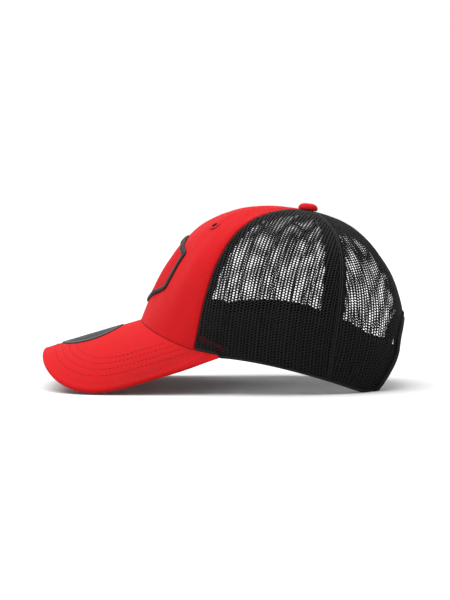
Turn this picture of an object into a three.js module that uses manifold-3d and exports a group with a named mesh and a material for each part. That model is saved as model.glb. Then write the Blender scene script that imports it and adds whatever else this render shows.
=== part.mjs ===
// Six-panel trucker cap: two solid front panels, four mesh panels, a curved visor and a snap closure.
// Millimetres. The front of the cap faces -Y, the wearer's left is +X, and the table is at Z = 0.
import * as THREE from 'three'
import { mergeVertices } from 'three/addons/utils/BufferGeometryUtils.js'
import Module from 'manifold-3d'

const wasm = await Module()
wasm.setup()

// ---------- driving dimensions ----------
const CLEARANCE = 0.3 // air left between pieces that touch in the real cap

// Plan of the crown's lower edge: a superellipse, widest at the ears.
const BASE_CENTRE_Y = 30
const BASE_HALF_LENGTH = 93
const BASE_HALF_WIDTH = 80
const BASE_EXPONENT = 2.2

// The visor is a sheet bent round a sloping cylinder. Its ridge meets the crown at the front.
const VISOR_RIDGE_Y = BASE_CENTRE_Y - BASE_HALF_LENGTH
const VISOR_RIDGE_Z = 49.7
const VISOR_SLOPE = THREE.MathUtils.degToRad(16.5)
const VISOR_BEND_RADIUS = 96.5
const VISOR_CENTRE_Y = -60
const VISOR_HALF_WIDTH = 77.5
const VISOR_FRONT_REACH = 76
const VISOR_REAR_REACH = 200
const VISOR_EXPONENT = 3
const VISOR_TAIL_ANGLE = THREE.MathUtils.degToRad(126)
const COVER_THICKNESS = 0.8
const BOARD_THICKNESS = 1.6
const VISOR_TUCK = 3.4 // how far the visor runs in under the crown
const VISOR_SEAM_GAP = 0.5
const VISOR_INNER_ANGLE = THREE.MathUtils.degToRad(64)

// The crown's lower edge behind the visor falls to the table at the rear legs.
const TAIL_BASE_ANGLE = THREE.MathUtils.degToRad(66.5)
const LEG_Y = 101
const EDGE_FALL_POWER = 1.5
const EDGE_DIP = 2.3 // how far the edge hangs below the visor's face at its corners
const EDGE_DIP_RUN = 4.6
const EDGE_BLEND = 0.12 // share of a meridian over which the layers even out to that edge
const REAR_FULLNESS = 7 // extra reach of the rear panels between their seams
const LEVEL_START_Y = -13.5 // from here to the back, the inner layers' edges come level with the outer one
const LEVEL_RUN = 12
const LEVEL_LEAD = 4 // how much sooner that starts for each millimetre of depth

// All panels meet at the button.
const BUTTON_Y = 62
const BUTTON_Z = 131.5
const BUTTON_RADIUS = 7.3
const BUTTON_HEIGHT = 5
const TOP_TILT = 0.176 // fall per unit of run towards the back, where the button sits
const PANEL_TOP = 0.978
const TAPE_TOP = 0.945

// Layers of the crown, as depths below its outer face.
const FRONT_THICKNESS = 1.6
const MESH_THICKNESS = 1.2
const LINING = { outer: FRONT_THICKNESS + CLEARANCE, inner: FRONT_THICKNESS + CLEARANCE + 0.6 }
const TAPE = { outer: LINING.inner + CLEARANCE, inner: LINING.inner + CLEARANCE + 0.5 }
const BAND = { outer: TAPE.inner + CLEARANCE, inner: TAPE.inner + CLEARANCE + 1.2 }
const TAPE_WIDTH = 10
const ALLOWANCE_HEIGHT = 11
const BAND_HEIGHT = { front: 31, side: 45, rear: 36 }

// Rear opening above the snap strap.
const ARCH_HALF_WIDTH = 31
const ARCH_SPRING_Z = 28
const ARCH_TOP_Z = 50.5
const ARCH_EXPONENT = 2.5
const LEG_GAP_HALF_WIDTH = 42
const BINDING_WIDTH = 6

// Snap closure: a strap with holes outside and a strap with pegs inside.
const STRAP_Y = 112
const STRAP_BOTTOM_Z = 9
const STRAP_WIDTH = 17
const STRAP_THICKNESS = 1.2
const STRAP_HINGE_X = 37
const STRAP_TIP_X = 25
const PEG_PITCH = 8
const PEG_COUNT = 7
const PEG_RADIUS = 1.7
const PEG_HEIGHT = 2.8
const HOLE_RADIUS = 2.5

// Sewn and stuck-on details.
const EYELET_RADIUS = 4.2
const EYELET_HOLE_RADIUS = 2.2
const EYELET_PANEL_ANGLE = THREE.MathUtils.degToRad(35)
const EYELET_HEIGHT = 0.585
const EMBLEM_HALF_WIDTH = 36
const EMBLEM_LOW_Z = 62
const EMBLEM_HIGH_Z = 113
const EMBLEM_BORDER = 5
const EMBLEM_SPAN = THREE.MathUtils.degToRad(38) // panel angle that covers half its width
const STICKER_RADIUS = 24
const STICKER_Y = -99

// Moves the middle of the cap's length to the origin.
const CENTRING_SHIFT_Y = 1.12

// ---------- numbers and closed solids ----------
const { degToRad: radians, smoothstep } = THREE.MathUtils
const vec = (x, y, z) => new THREE.Vector3(x, y, z)

// Smooth even function of the panel angle that takes four values at 0, 60, 120 and 180 degrees.
function aroundCrown(angle, front, frontSeam, rearSeam, back) {
  const mean = (front + 2 * frontSeam + 2 * rearSeam + back) / 6
  const first = (front + frontSeam - rearSeam - back) / 3
  const second = (front - frontSeam - rearSeam + back) / 3
  const third = (front - 2 * frontSeam + 2 * rearSeam - back) / 6
  return mean + first * Math.cos(angle) + second * Math.cos(2 * angle) + third * Math.cos(3 * angle)
}

function superellipseRadius(angle, along, across, exponent) {
  const a = Math.abs(Math.cos(angle) / along) ** exponent
  const b = Math.abs(Math.sin(angle) / across) ** exponent
  return (a + b) ** (-1 / exponent)
}

// Closed solid between an outer and an inner face, each given over u and v from 0 to 1.
function slab(outerAt, innerAt, columns, rows) {
  const points = []
  const faces = [outerAt, innerAt]
  for (const face of faces) {
    for (let j = 0; j <= rows; j++) {
      for (let i = 0; i <= columns; i++) {
        points.push(...face(i / columns, j / rows).toArray())
      }
    }
  }
  const back = (columns + 1) * (rows + 1)
  const at = (i, j) => j * (columns + 1) + i
  const index = []
  const quad = (a, b, c, d) => index.push(a, b, c, a, c, d)
  for (let j = 0; j < rows; j++) {
    for (let i = 0; i < columns; i++) {
      const corners = [at(i, j), at(i + 1, j), at(i + 1, j + 1), at(i, j + 1)]
      quad(...corners)
      quad(...corners.map((k) => k + back).reverse())
    }
  }
  for (let i = 0; i < columns; i++) {
    quad(at(i + 1, 0), at(i, 0), at(i, 0) + back, at(i + 1, 0) + back)
    quad(at(i, rows), at(i + 1, rows), at(i + 1, rows) + back, at(i, rows) + back)
  }
  for (let j = 0; j < rows; j++) {
    quad(at(0, j), at(0, j + 1), at(0, j + 1) + back, at(0, j) + back)
    quad(at(columns, j + 1), at(columns, j), at(columns, j) + back, at(columns, j + 1) + back)
  }
  const geometry = new THREE.BufferGeometry()
  geometry.setAttribute('position', new THREE.Float32BufferAttribute(points, 3))
  geometry.setIndex(signedVolume(points, index) < 0 ? index.reverse() : index)
  return geometry
}

function signedVolume(points, index) {
  let six = 0
  const p = (k) => vec(points[3 * k], points[3 * k + 1], points[3 * k + 2])
  for (let k = 0; k < index.length; k += 3) {
    six += p(index[k]).dot(p(index[k + 1]).cross(p(index[k + 2])))
  }
  return six / 6
}

function toManifold(geometry) {
  const bare = new THREE.BufferGeometry()
  bare.setAttribute('position', geometry.getAttribute('position').clone())
  if (geometry.index) {
    bare.setIndex(geometry.index.clone())
  }
  const welded = mergeVertices(bare, 1e-4)
  const mesh = new wasm.Mesh({
    numProp: 3,
    vertProperties: new Float32Array(welded.getAttribute('position').array),
    triVerts: new Uint32Array(welded.index.array)
  })
  mesh.merge()
  return new wasm.Manifold(mesh)
}

function fromManifold(solid) {
  const mesh = solid.getMesh()
  const geometry = new THREE.BufferGeometry()
  geometry.setAttribute('position', new THREE.Float32BufferAttribute(mesh.vertProperties, 3))
  geometry.setIndex(Array.from(mesh.triVerts))
  return geometry
}

const cut = (geometry, tool) => fromManifold(toManifold(geometry).subtract(toManifold(tool)))
const keep = (geometry, tool) => fromManifold(toManifold(geometry).intersect(toManifold(tool)))
const join = (geometry, other) => fromManifold(toManifold(geometry).add(toManifold(other)))

// Prism along Y from an outline given in X and Z.
function prismAlongY(outline, fromY, toY, curveSegments) {
  const prism = new THREE.ExtrudeGeometry(outline, { depth: toY - fromY, bevelEnabled: false, curveSegments })
  prism.rotateX(Math.PI / 2)
  prism.translate(0, toY, 0)
  return prism
}

// ---------- the crown's surface ----------
function baseRing(direction) {
  const radius = superellipseRadius(direction, BASE_HALF_LENGTH, BASE_HALF_WIDTH, BASE_EXPONENT)
  return [radius * Math.sin(direction), BASE_CENTRE_Y - radius * Math.cos(direction)]
}

function visorHeight(x, y) {
  const drop = VISOR_BEND_RADIUS * (1 - Math.sqrt(1 - (x / VISOR_BEND_RADIUS) ** 2))
  return VISOR_RIDGE_Z + (y - VISOR_RIDGE_Y) * Math.tan(VISOR_SLOPE) - drop / Math.cos(VISOR_SLOPE)
}

const TAIL_POINT = baseRing(TAIL_BASE_ANGLE)
const TAIL_Z = visorHeight(...TAIL_POINT)

function edgeHeight(x, y) {
  const tailY = TAIL_POINT[1]
  if (y <= tailY) {
    return visorHeight(x, y) - EDGE_DIP * smoothstep(y, tailY - EDGE_DIP_RUN, tailY)
  }
  const run = Math.min(1, (y - tailY) / (LEG_Y - tailY))
  return (TAIL_Z - EDGE_DIP) * (1 - run ** EDGE_FALL_POWER)
}

// Direction of a meridian's foot, in plan, for a panel angle of 0 at the front and 60 degrees per panel.
function footDirection(angle) {
  return angle - radians(3.64) * Math.sin(angle) - radians(4.79) * Math.sin(2 * angle)
}

// The rear panels are fuller halfway between their seams.
function rearFullness(angle) {
  const fromBack = Math.acos(-Math.cos(angle)) / (Math.PI / 3)
  return fromBack < 1 ? REAR_FULLNESS * Math.sin(Math.PI * fromBack) ** 2 : 0
}

// A point of the crown's outer face. Height runs from 0 at the lower edge to 1 at the button.
function crownPoint(angle, height) {
  const [x, y] = baseRing(footDirection(angle))
  const foot = vec(x, y, edgeHeight(x, y))
  const riseY = aroundCrown(angle, -37, -15, 85, 150) + rearFullness(angle)
  const rise = vec(1.05 * x, riseY, aroundCrown(angle, 110, 81, 73, 44))
  const topY = aroundCrown(angle, -16, 0, 94, 125)
  const topX = 67.5 * Math.sin(angle) + 4 * Math.sin(2 * angle)
  const top = vec(topX, topY, BUTTON_Z + TOP_TILT * (BUTTON_Y - topY))
  const button = vec(0, BUTTON_Y, BUTTON_Z)
  const low = 1 - height
  return foot.multiplyScalar(low ** 3)
    .addScaledVector(rise, 3 * low ** 2 * height)
    .addScaledVector(top, 3 * low * height ** 2)
    .addScaledVector(button, height ** 3)
}

function crownAcross(angle, height) {
  const step = 1e-4
  return crownPoint(angle + step, height).sub(crownPoint(angle - step, height)).divideScalar(2 * step)
}

function crownUp(angle, height) {
  const step = 1e-4
  return crownPoint(angle, height + step).sub(crownPoint(angle, height - step)).divideScalar(2 * step)
}

function crownNormal(angle, height) {
  return crownAcross(angle, height).cross(crownUp(angle, height)).normalize()
}

function offsetPoint(angle, height, depth) {
  return crownPoint(angle, height).addScaledVector(crownNormal(angle, height), -depth)
}

// Height of an inner layer's lower edge. It follows the slope of the visor, and evens out beside its tails.
function layerEdge(outerFoot, foot, depth) {
  const run = outerFoot.y - LEVEL_START_Y + LEVEL_LEAD * depth
  const fade = THREE.MathUtils.clamp(1 - run / LEVEL_RUN, 0, 1)
  const slope = visorHeight(foot.x, foot.y) - visorHeight(outerFoot.x, outerFoot.y)
  return edgeHeight(outerFoot.x, outerFoot.y) + fade * slope
}

// A point some depth below the outer face. Near the lower edge every layer ends level with that edge.
function crownInside(angle, height, depth) {
  const point = offsetPoint(angle, height, depth)
  const foot = offsetPoint(angle, 0, depth)
  const fade = Math.max(0, 1 - height / EDGE_BLEND)
  point.z += fade * (layerEdge(crownPoint(angle, 0), foot, depth) - foot.z)
  return point
}

// Panel angle of a point that lies some millimetres to one side of a seam.
function besideSeam(seam, height, offset) {
  return seam + offset / crownAcross(seam, height).length()
}

// Height parameter that lies some millimetres above the lower edge.
function aboveEdge(angle, distance) {
  return distance / crownUp(angle, 0).length()
}

// Closed shell of the crown between two seams, two heights and two depths.
function crownShell({ from, to, low, high, outer, inner, margin = CLEARANCE / 2, columns, rows }) {
  const face = (depth) => (u, v) => {
    const middle = from + u * (to - from)
    const bottom = low(middle)
    const height = bottom + v * (high(middle) - bottom)
    const start = besideSeam(from, height, margin)
    const end = besideSeam(to, height, -margin)
    return crownInside(start + u * (end - start), height, depth)
  }
  return slab(face(outer), face(inner), columns, rows)
}

// ---------- materials ----------
function material(color, roughness, extra = {}) {
  return new THREE.MeshStandardMaterial({ color, roughness, metalness: 0, ...extra })
}

const redTwill = () => material(0xb50f16, 0.85)
const blackMesh = () => material(0x121214, 0.8)
const blackLining = () => material(0x18181a, 0.9)
const blackTape = () => material(0x101012, 0.85)
const whiteBoard = () => material(0xe8e6de, 0.6)
const blackPlastic = () => material(0x161617, 0.45)
const blackThread = () => material(0x0c0c0d, 0.5)
const redThread = () => material(0xc2151c, 0.55)
const greyVinyl = () => material(0x3c3d40, 0.35)
const steel = () => material(0x8c8e92, 0.35, { metalness: 0.9 })

const cap = new THREE.Group()
cap.name = 'trucker_cap'

function addPiece(name, geometry, look) {
  geometry.computeVertexNormals()
  const mesh = new THREE.Mesh(geometry, look)
  mesh.name = name
  cap.add(mesh)
}

const SIDES = [['left', 1], ['right', -1]]
const SEAM = radians(60)

// Runs a piece's angles upwards on either side of the cap.
function span(side, a, b) {
  return side > 0 ? { from: a, to: b } : { from: -b, to: -a }
}

// ---------- rear opening ----------
// Outline in X and Z, grown by a margin. It starts under the table and closes over the top.
function archOutline(margin) {
  const outline = new THREE.Shape()
  const springX = ARCH_HALF_WIDTH + margin
  const flare = (LEG_GAP_HALF_WIDTH - ARCH_HALF_WIDTH) / ARCH_SPRING_Z
  outline.moveTo(springX + flare * (ARCH_SPRING_Z + 12), -12)
  const steps = 12
  for (let i = 0; i <= steps; i++) {
    const turn = (Math.PI * i) / steps
    const radius = superellipseRadius(turn, springX, ARCH_TOP_Z + margin - ARCH_SPRING_Z, ARCH_EXPONENT)
    outline.lineTo(radius * Math.cos(turn), ARCH_SPRING_Z + radius * Math.sin(turn))
  }
  outline.lineTo(-springX - flare * (ARCH_SPRING_Z + 12), -12)
  return outline
}

const archCutter = (margin) => prismAlongY(archOutline(margin), 70, 170, 12)

// ---------- crown panels ----------
const atEdge = () => 0
const atPanelTop = () => PANEL_TOP

function eyeletCentre(side) {
  const angle = side * EYELET_PANEL_ANGLE
  return { point: crownPoint(angle, EYELET_HEIGHT), normal: crownNormal(angle, EYELET_HEIGHT) }
}

function alongNormal(geometry, point, normal) {
  geometry.applyQuaternion(new THREE.Quaternion().setFromUnitVectors(vec(0, 1, 0), normal))
  geometry.translate(point.x, point.y, point.z)
  return geometry
}

function eyeletDrill(side) {
  const { point, normal } = eyeletCentre(side)
  const drill = new THREE.CylinderGeometry(EYELET_HOLE_RADIUS, EYELET_HOLE_RADIUS, 20, 16)
  return alongNormal(drill, point, normal)
}

function addFrontPanels() {
  for (const [name, side] of SIDES) {
    const sector = span(side, 0, SEAM)
    const panel = crownShell({
      ...sector, low: atEdge, high: atPanelTop, outer: 0, inner: FRONT_THICKNESS, columns: 9, rows: 14
    })
    addPiece(`front_panel_${name}`, cut(panel, eyeletDrill(side)), redTwill())
    const lining = crownShell({
      ...sector, low: atEdge, high: atPanelTop, outer: LINING.outer, inner: LINING.inner, columns: 9, rows: 14
    })
    addPiece(`front_lining_${name}`, cut(lining, eyeletDrill(side)), blackLining())
  }
}

function addMeshPanels() {
  for (const [name, side] of SIDES) {
    const depths = { outer: 0, inner: MESH_THICKNESS, low: atEdge, high: atPanelTop }
    const middle = crownShell({ ...span(side, SEAM, 2 * SEAM), ...depths, columns: 18, rows: 14 })
    addPiece(`side_mesh_${name}`, middle, blackMesh())
    const rear = crownShell({ ...span(side, 2 * SEAM, Math.PI), ...depths, columns: 10, rows: 14 })
    addPiece(`rear_mesh_${name}`, cut(rear, archCutter(0)), blackMesh())
  }
}

// ---------- tapes, binding and sweatband inside the crown ----------
function seamTape(seam, low, high) {
  const face = (depth) => (u, v) => {
    const height = low + v * (high - low)
    const angle = besideSeam(seam, height, (u - 0.5) * TAPE_WIDTH)
    return crownInside(angle, height, depth)
  }
  return slab(face(TAPE.outer), face(TAPE.inner), 2, 16)
}

function addTapes() {
  const overAllowance = (angle) => aboveEdge(angle, ALLOWANCE_HEIGHT + 1)
  addPiece('tape_centre_front', seamTape(0, overAllowance(0), TAPE_TOP), blackTape())
  for (const [name, side] of SIDES) {
    addPiece(`tape_front_seam_${name}`, seamTape(side * SEAM, overAllowance(SEAM), TAPE_TOP), blackTape())
    addPiece(`tape_rear_seam_${name}`, seamTape(side * 2 * SEAM, 0.004, TAPE_TOP), blackTape())
  }
  addPiece('tape_centre_back', cut(seamTape(Math.PI, 0.2, TAPE_TOP), archCutter(BINDING_WIDTH + CLEARANCE)),
    blackTape())
}

// Folded tape round the rear opening, inside the mesh.
function addArchBinding() {
  const ring = crownShell({
    from: radians(138), to: radians(222), low: atEdge, high: () => 0.55, outer: TAPE.outer, inner: TAPE.inner,
    columns: 24, rows: 10
  })
  addPiece('arch_binding', cut(keep(ring, archCutter(BINDING_WIDTH)), archCutter(0)), blackTape())
}

// Strip of the crown and visor seam that is turned up inside, behind the panels.
function addSeamAllowance() {
  addPiece('visor_seam_allowance', crownShell({
    from: radians(-76), to: radians(76), low: atEdge, high: (angle) => aboveEdge(angle, ALLOWANCE_HEIGHT),
    outer: TAPE.outer, inner: TAPE.inner, columns: 34, rows: 2
  }), redTwill())
}

// The sweatband stands tallest beside the ears.
function bandHeight(angle) {
  const degrees = THREE.MathUtils.radToDeg(Math.abs(angle))
  const rise = smoothstep(degrees, 66, 110) * (BAND_HEIGHT.side - BAND_HEIGHT.front)
  const fall = smoothstep(degrees, 122, 154) * (BAND_HEIGHT.side - BAND_HEIGHT.rear)
  return BAND_HEIGHT.front + rise - fall
}

function addSweatband() {
  const band = crownShell({
    from: radians(-179.5), to: radians(179.5),
    low: atEdge, high: (angle) => aboveEdge(angle, bandHeight(angle)),
    outer: BAND.outer, inner: BAND.inner, columns: 90, rows: 3
  })
  addPiece('sweatband', cut(band, archCutter(1)), blackLining())
}

// ---------- visor ----------
// Sheet of the visor between two depths. The outline steps in by a margin all round its outer edge.
function visorSheet(top, bottom, margin, tuck, columns, rows) {
  const face = (depth) => (u, v) => {
    const turn = 2 * u - 1
    const [baseX, baseY] = baseRing(turn * VISOR_INNER_ANGLE)
    const kept = 1 - (tuck * (1 - turn ** 4)) / Math.hypot(baseX, baseY - BASE_CENTRE_Y)
    const inner = [baseX * kept, BASE_CENTRE_Y + (baseY - BASE_CENTRE_Y) * kept]
    const around = turn * VISOR_TAIL_ANGLE
    const along = Math.abs(around) < Math.PI / 2 ? VISOR_FRONT_REACH : VISOR_REAR_REACH
    const reach = superellipseRadius(around, along - margin, VISOR_HALF_WIDTH - margin, VISOR_EXPONENT)
    const outer = [reach * Math.sin(around), VISOR_CENTRE_Y - reach * Math.cos(around)]
    const x = inner[0] + v * (outer[0] - inner[0])
    const y = inner[1] + v * (outer[1] - inner[1])
    return visorPoint(x, y, depth)
  }
  return slab(face(top), face(bottom), columns, rows)
}

function visorPoint(x, y, depth) {
  const lean = x / VISOR_BEND_RADIUS
  const upright = Math.sqrt(1 - lean ** 2)
  const normal = vec(lean, -Math.sin(VISOR_SLOPE) * upright, Math.cos(VISOR_SLOPE) * upright)
  return vec(x, y, visorHeight(x, y) - VISOR_SEAM_GAP).addScaledVector(normal, -depth)
}

function addVisor() {
  const boardTop = COVER_THICKNESS + CLEARANCE
  const boardBottom = boardTop + BOARD_THICKNESS
  const underTop = boardBottom + CLEARANCE
  const underBottom = underTop + COVER_THICKNESS
  const whole = visorSheet(0, underBottom, 0, VISOR_TUCK, 32, 6)
  const hollow = visorSheet(COVER_THICKNESS, underBottom + 3, COVER_THICKNESS, VISOR_TUCK + 2, 32, 6)
  addPiece('visor_top_cover', cut(whole, hollow), redTwill())
  const boardMargin = COVER_THICKNESS + CLEARANCE
  addPiece('visor_board', visorSheet(boardTop, boardBottom, boardMargin, VISOR_TUCK - 1, 32, 6), whiteBoard())
  addPiece('visor_under_cover', visorSheet(underTop, underBottom, boardMargin, VISOR_TUCK, 32, 6), redTwill())
}

function addSticker() {
  const face = (depth) => (u, v) => {
    const radius = 1 + v * (STICKER_RADIUS - 1)
    const turn = 2 * Math.PI * u
    const forward = radius * Math.cos(turn) * Math.cos(VISOR_SLOPE)
    return visorPoint(radius * Math.sin(turn), STICKER_Y + forward, depth)
  }
  const rings = 3
  const sides = 32
  addPiece('visor_sticker', closedDisc(face(-CLEARANCE - 0.35), face(-CLEARANCE), sides, rings), greyVinyl())
}

// Round sheet between two faces given by turn and radius.
function closedDisc(upperAt, lowerAt, sides, rings) {
  const points = []
  const faces = [upperAt, lowerAt]
  for (const face of faces) {
    const hub = vec(0, 0, 0)
    for (let i = 0; i < sides; i++) {
      hub.addScaledVector(face(i / sides, 0), 1 / sides)
    }
    points.push(...hub.toArray())
    for (let j = 1; j <= rings; j++) {
      for (let i = 0; i < sides; i++) {
        points.push(...face(i / sides, j / rings).toArray())
      }
    }
  }
  const back = 1 + sides * rings
  const at = (i, j) => (j === 0 ? 0 : 1 + (j - 1) * sides + (i % sides))
  const index = []
  for (let i = 0; i < sides; i++) {
    index.push(0, at(i, 1), at(i + 1, 1))
    index.push(back, at(i + 1, 1) + back, at(i, 1) + back)
    for (let j = 1; j < rings; j++) {
      index.push(at(i, j), at(i, j + 1), at(i + 1, j + 1), at(i, j), at(i + 1, j + 1), at(i + 1, j))
      index.push(at(i, j) + back, at(i + 1, j + 1) + back, at(i, j + 1) + back)
      index.push(at(i, j) + back, at(i + 1, j) + back, at(i + 1, j + 1) + back)
    }
    index.push(at(i, rings), at(i, rings) + back, at(i + 1, rings) + back)
    index.push(at(i, rings), at(i + 1, rings) + back, at(i + 1, rings))
  }
  const geometry = new THREE.BufferGeometry()
  geometry.setAttribute('position', new THREE.Float32BufferAttribute(points, 3))
  geometry.setIndex(signedVolume(points, index) < 0 ? index.reverse() : index)
  return geometry
}

// ---------- button, eyelets and emblem ----------
function addButton() {
  const centre = vec(0, BUTTON_Y, BUTTON_Z)
  const up = vec(0, TOP_TILT, 1).normalize()
  const seat = 0.7
  const dome = [
    [0, seat], [BUTTON_RADIUS - 0.6, seat], [BUTTON_RADIUS, seat + 1], [BUTTON_RADIUS - 0.4, seat + 2.4],
    [BUTTON_RADIUS * 0.75, seat + 0.78 * BUTTON_HEIGHT], [BUTTON_RADIUS * 0.4, seat + 0.95 * BUTTON_HEIGHT],
    [0, seat + BUTTON_HEIGHT]
  ]
  const button = new THREE.LatheGeometry(dome.map(([r, h]) => new THREE.Vector2(r, h)), 28)
  addPiece('button', alongNormal(solidLathe(button), centre, up), redTwill())
  const washerTop = -TAPE.inner - 0.6
  const shank = [
    [0, seat - CLEARANCE], [1.4, seat - CLEARANCE], [1.4, washerTop], [7, washerTop], [7, washerTop - 0.9],
    [0, washerTop - 0.9]
  ]
  const rivet = new THREE.LatheGeometry(shank.reverse().map(([r, h]) => new THREE.Vector2(r, h)), 20)
  addPiece('button_rivet', alongNormal(solidLathe(rivet), centre, up), steel())
}

// Welds a lathe's seam and poles so that it is one closed body with its faces outwards.
function solidLathe(lathe) {
  const bare = new THREE.BufferGeometry()
  bare.setAttribute('position', lathe.getAttribute('position').clone())
  bare.setIndex(lathe.index.clone())
  const welded = mergeVertices(bare, 1e-4)
  const points = Array.from(welded.getAttribute('position').array)
  const index = []
  const all = Array.from(welded.index.array)
  for (let k = 0; k < all.length; k += 3) {
    const [a, b, c] = all.slice(k, k + 3)
    if (a !== b && b !== c && a !== c) {
      index.push(a, b, c)
    }
  }
  const geometry = new THREE.BufferGeometry()
  geometry.setAttribute('position', new THREE.Float32BufferAttribute(points, 3))
  geometry.setIndex(signedVolume(points, index) < 0 ? index.reverse() : index)
  return geometry
}

// Raised ring of thread round each vent hole.
function addEyelets() {
  for (const [name, side] of SIDES) {
    const { point, normal } = eyeletCentre(side)
    const low = CLEARANCE
    const profile = [
      [EYELET_HOLE_RADIUS, low], [EYELET_RADIUS, low], [EYELET_RADIUS - 0.3, low + 0.5],
      [EYELET_RADIUS - 1, low + 0.8], [EYELET_HOLE_RADIUS + 0.3, low + 0.5], [EYELET_HOLE_RADIUS, low]
    ]
    const ring = new THREE.LatheGeometry(profile.map(([r, h]) => new THREE.Vector2(r, h)), 20)
    addPiece(`eyelet_${name}`, alongNormal(solidLathe(ring), point, normal), redThread())
  }
}

// Plain upright hexagon with a point at the top and bottom, stepped in by a margin.
function hexagon(margin) {
  const middle = (EMBLEM_LOW_Z + EMBLEM_HIGH_Z) / 2
  const point = (EMBLEM_HIGH_Z - EMBLEM_LOW_Z) / 2 - 1.15 * margin
  const side = EMBLEM_HALF_WIDTH - margin
  const shoulder = 0.52 * point
  const outline = new THREE.Shape()
  outline.moveTo(0, middle - point)
  outline.lineTo(side, middle - shoulder)
  outline.lineTo(side, middle + shoulder)
  outline.lineTo(0, middle + point)
  outline.lineTo(-side, middle + shoulder)
  outline.lineTo(-side, middle - shoulder)
  return outline
}

function emblemPatch(height) {
  return crownShell({
    from: -EMBLEM_SPAN, to: EMBLEM_SPAN, low: () => 0.06, high: () => 0.62, outer: -CLEARANCE - height,
    inner: -CLEARANCE, columns: 16, rows: 12
  })
}

function addEmblem() {
  const prism = (margin) => prismAlongY(hexagon(margin), -90, 10, 1)
  const border = cut(keep(emblemPatch(2), prism(0)), prism(EMBLEM_BORDER))
  addPiece('emblem_border', border, blackThread())
  addPiece('emblem_fill', keep(emblemPatch(1), prism(EMBLEM_BORDER + CLEARANCE)), redThread())
}

// ---------- snap closure ----------
// Upright strip in the XZ plane with a rounded tip.
function strapOutline(hingeX, tipX) {
  const outline = new THREE.Shape()
  const toward = Math.sign(tipX - hingeX)
  const top = STRAP_BOTTOM_Z + STRAP_WIDTH
  const corner = 5
  outline.moveTo(hingeX, STRAP_BOTTOM_Z)
  outline.lineTo(tipX - toward * corner, STRAP_BOTTOM_Z)
  outline.quadraticCurveTo(tipX, STRAP_BOTTOM_Z, tipX, STRAP_BOTTOM_Z + corner)
  outline.lineTo(tipX, top - corner)
  outline.quadraticCurveTo(tipX, top, tipX - toward * corner, top)
  outline.lineTo(hingeX, top)
  return outline
}

function pegPositions(side) {
  const first = -side * 2.5 * PEG_PITCH
  return Array.from({ length: PEG_COUNT }, (_, i) => first + side * i * PEG_PITCH)
}

function strapStud(x, y, radiusBelow, radiusAbove, length) {
  const stud = new THREE.CylinderGeometry(radiusAbove, radiusBelow, length, 16)
  return stud.translate(x, y, STRAP_BOTTOM_Z + STRAP_WIDTH / 2)
}

function addStraps() {
  const outerFace = STRAP_Y + STRAP_THICKNESS
  let holed = prismAlongY(strapOutline(STRAP_HINGE_X, -STRAP_TIP_X), STRAP_Y, outerFace, 6)
  for (const x of pegPositions(1)) {
    holed = cut(holed, strapStud(x, STRAP_Y, HOLE_RADIUS, HOLE_RADIUS, 6))
  }
  addPiece('snap_strap_holes', holed, blackPlastic())
  const innerFace = STRAP_Y - CLEARANCE
  const outline = strapOutline(-STRAP_HINGE_X, STRAP_TIP_X)
  let pegged = prismAlongY(outline, innerFace - STRAP_THICKNESS, innerFace, 6)
  for (const x of pegPositions(-1)) {
    const root = 0.4
    const middle = innerFace + (PEG_HEIGHT - root) / 2
    pegged = join(pegged, strapStud(x, middle, PEG_RADIUS, PEG_RADIUS * 0.85, PEG_HEIGHT + root))
  }
  addPiece('snap_strap_pegs', pegged, blackPlastic())
}

// Ends of the straps, sewn flat to the sweatband inside each rear leg.
function addStrapTabs() {
  for (const [name, side] of SIDES) {
    const angles = span(side, radians(138), radians(151))
    const face = (depth) => (u, v) => {
      const angle = angles.from + u * (angles.to - angles.from)
      const bottom = aboveEdge(angle, STRAP_BOTTOM_Z)
      const top = aboveEdge(angle, STRAP_BOTTOM_Z + STRAP_WIDTH)
      return crownInside(angle, bottom + v * (top - bottom), depth)
    }
    const outer = BAND.inner + CLEARANCE
    addPiece(`snap_strap_tab_${name}`, slab(face(outer), face(outer + 1), 4, 3), blackPlastic())
  }
}

addFrontPanels()
addMeshPanels()
addTapes()
addArchBinding()
addSeamAllowance()
addSweatband()
addVisor()
addSticker()
addButton()
addEyelets()
addEmblem()
addStraps()
addStrapTabs()

cap.position.y = CENTRING_SHIFT_Y

export default cap
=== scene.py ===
# Looks of the six-panel trucker cap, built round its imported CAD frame.
# Lengths are millimetres until a mesh is made.
# The front faces -Y, the wearer's left is +X, and the table is Z = 0.
import math

import bpy
import numpy as np
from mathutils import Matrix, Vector


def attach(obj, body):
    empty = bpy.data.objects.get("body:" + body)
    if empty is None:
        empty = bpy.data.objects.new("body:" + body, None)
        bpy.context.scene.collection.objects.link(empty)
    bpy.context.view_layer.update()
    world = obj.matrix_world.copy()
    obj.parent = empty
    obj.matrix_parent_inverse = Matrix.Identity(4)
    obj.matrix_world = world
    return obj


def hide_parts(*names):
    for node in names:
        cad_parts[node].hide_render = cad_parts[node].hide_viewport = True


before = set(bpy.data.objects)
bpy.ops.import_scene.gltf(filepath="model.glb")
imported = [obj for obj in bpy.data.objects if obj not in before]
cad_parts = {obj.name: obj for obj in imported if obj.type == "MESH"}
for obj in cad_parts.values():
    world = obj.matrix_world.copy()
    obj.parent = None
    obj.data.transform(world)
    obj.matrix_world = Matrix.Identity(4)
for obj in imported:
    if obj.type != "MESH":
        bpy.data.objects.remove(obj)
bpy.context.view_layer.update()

# ---------- driving dimensions ----------
MM = 0.001
CENTRING_SHIFT_Y = 1.12  # the CAD frame has the middle of the cap's length at its origin

BASE_CENTRE_Y = 30
BASE_HALF_LENGTH = 93
BASE_HALF_WIDTH = 80
BASE_EXPONENT = 2.2

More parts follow.
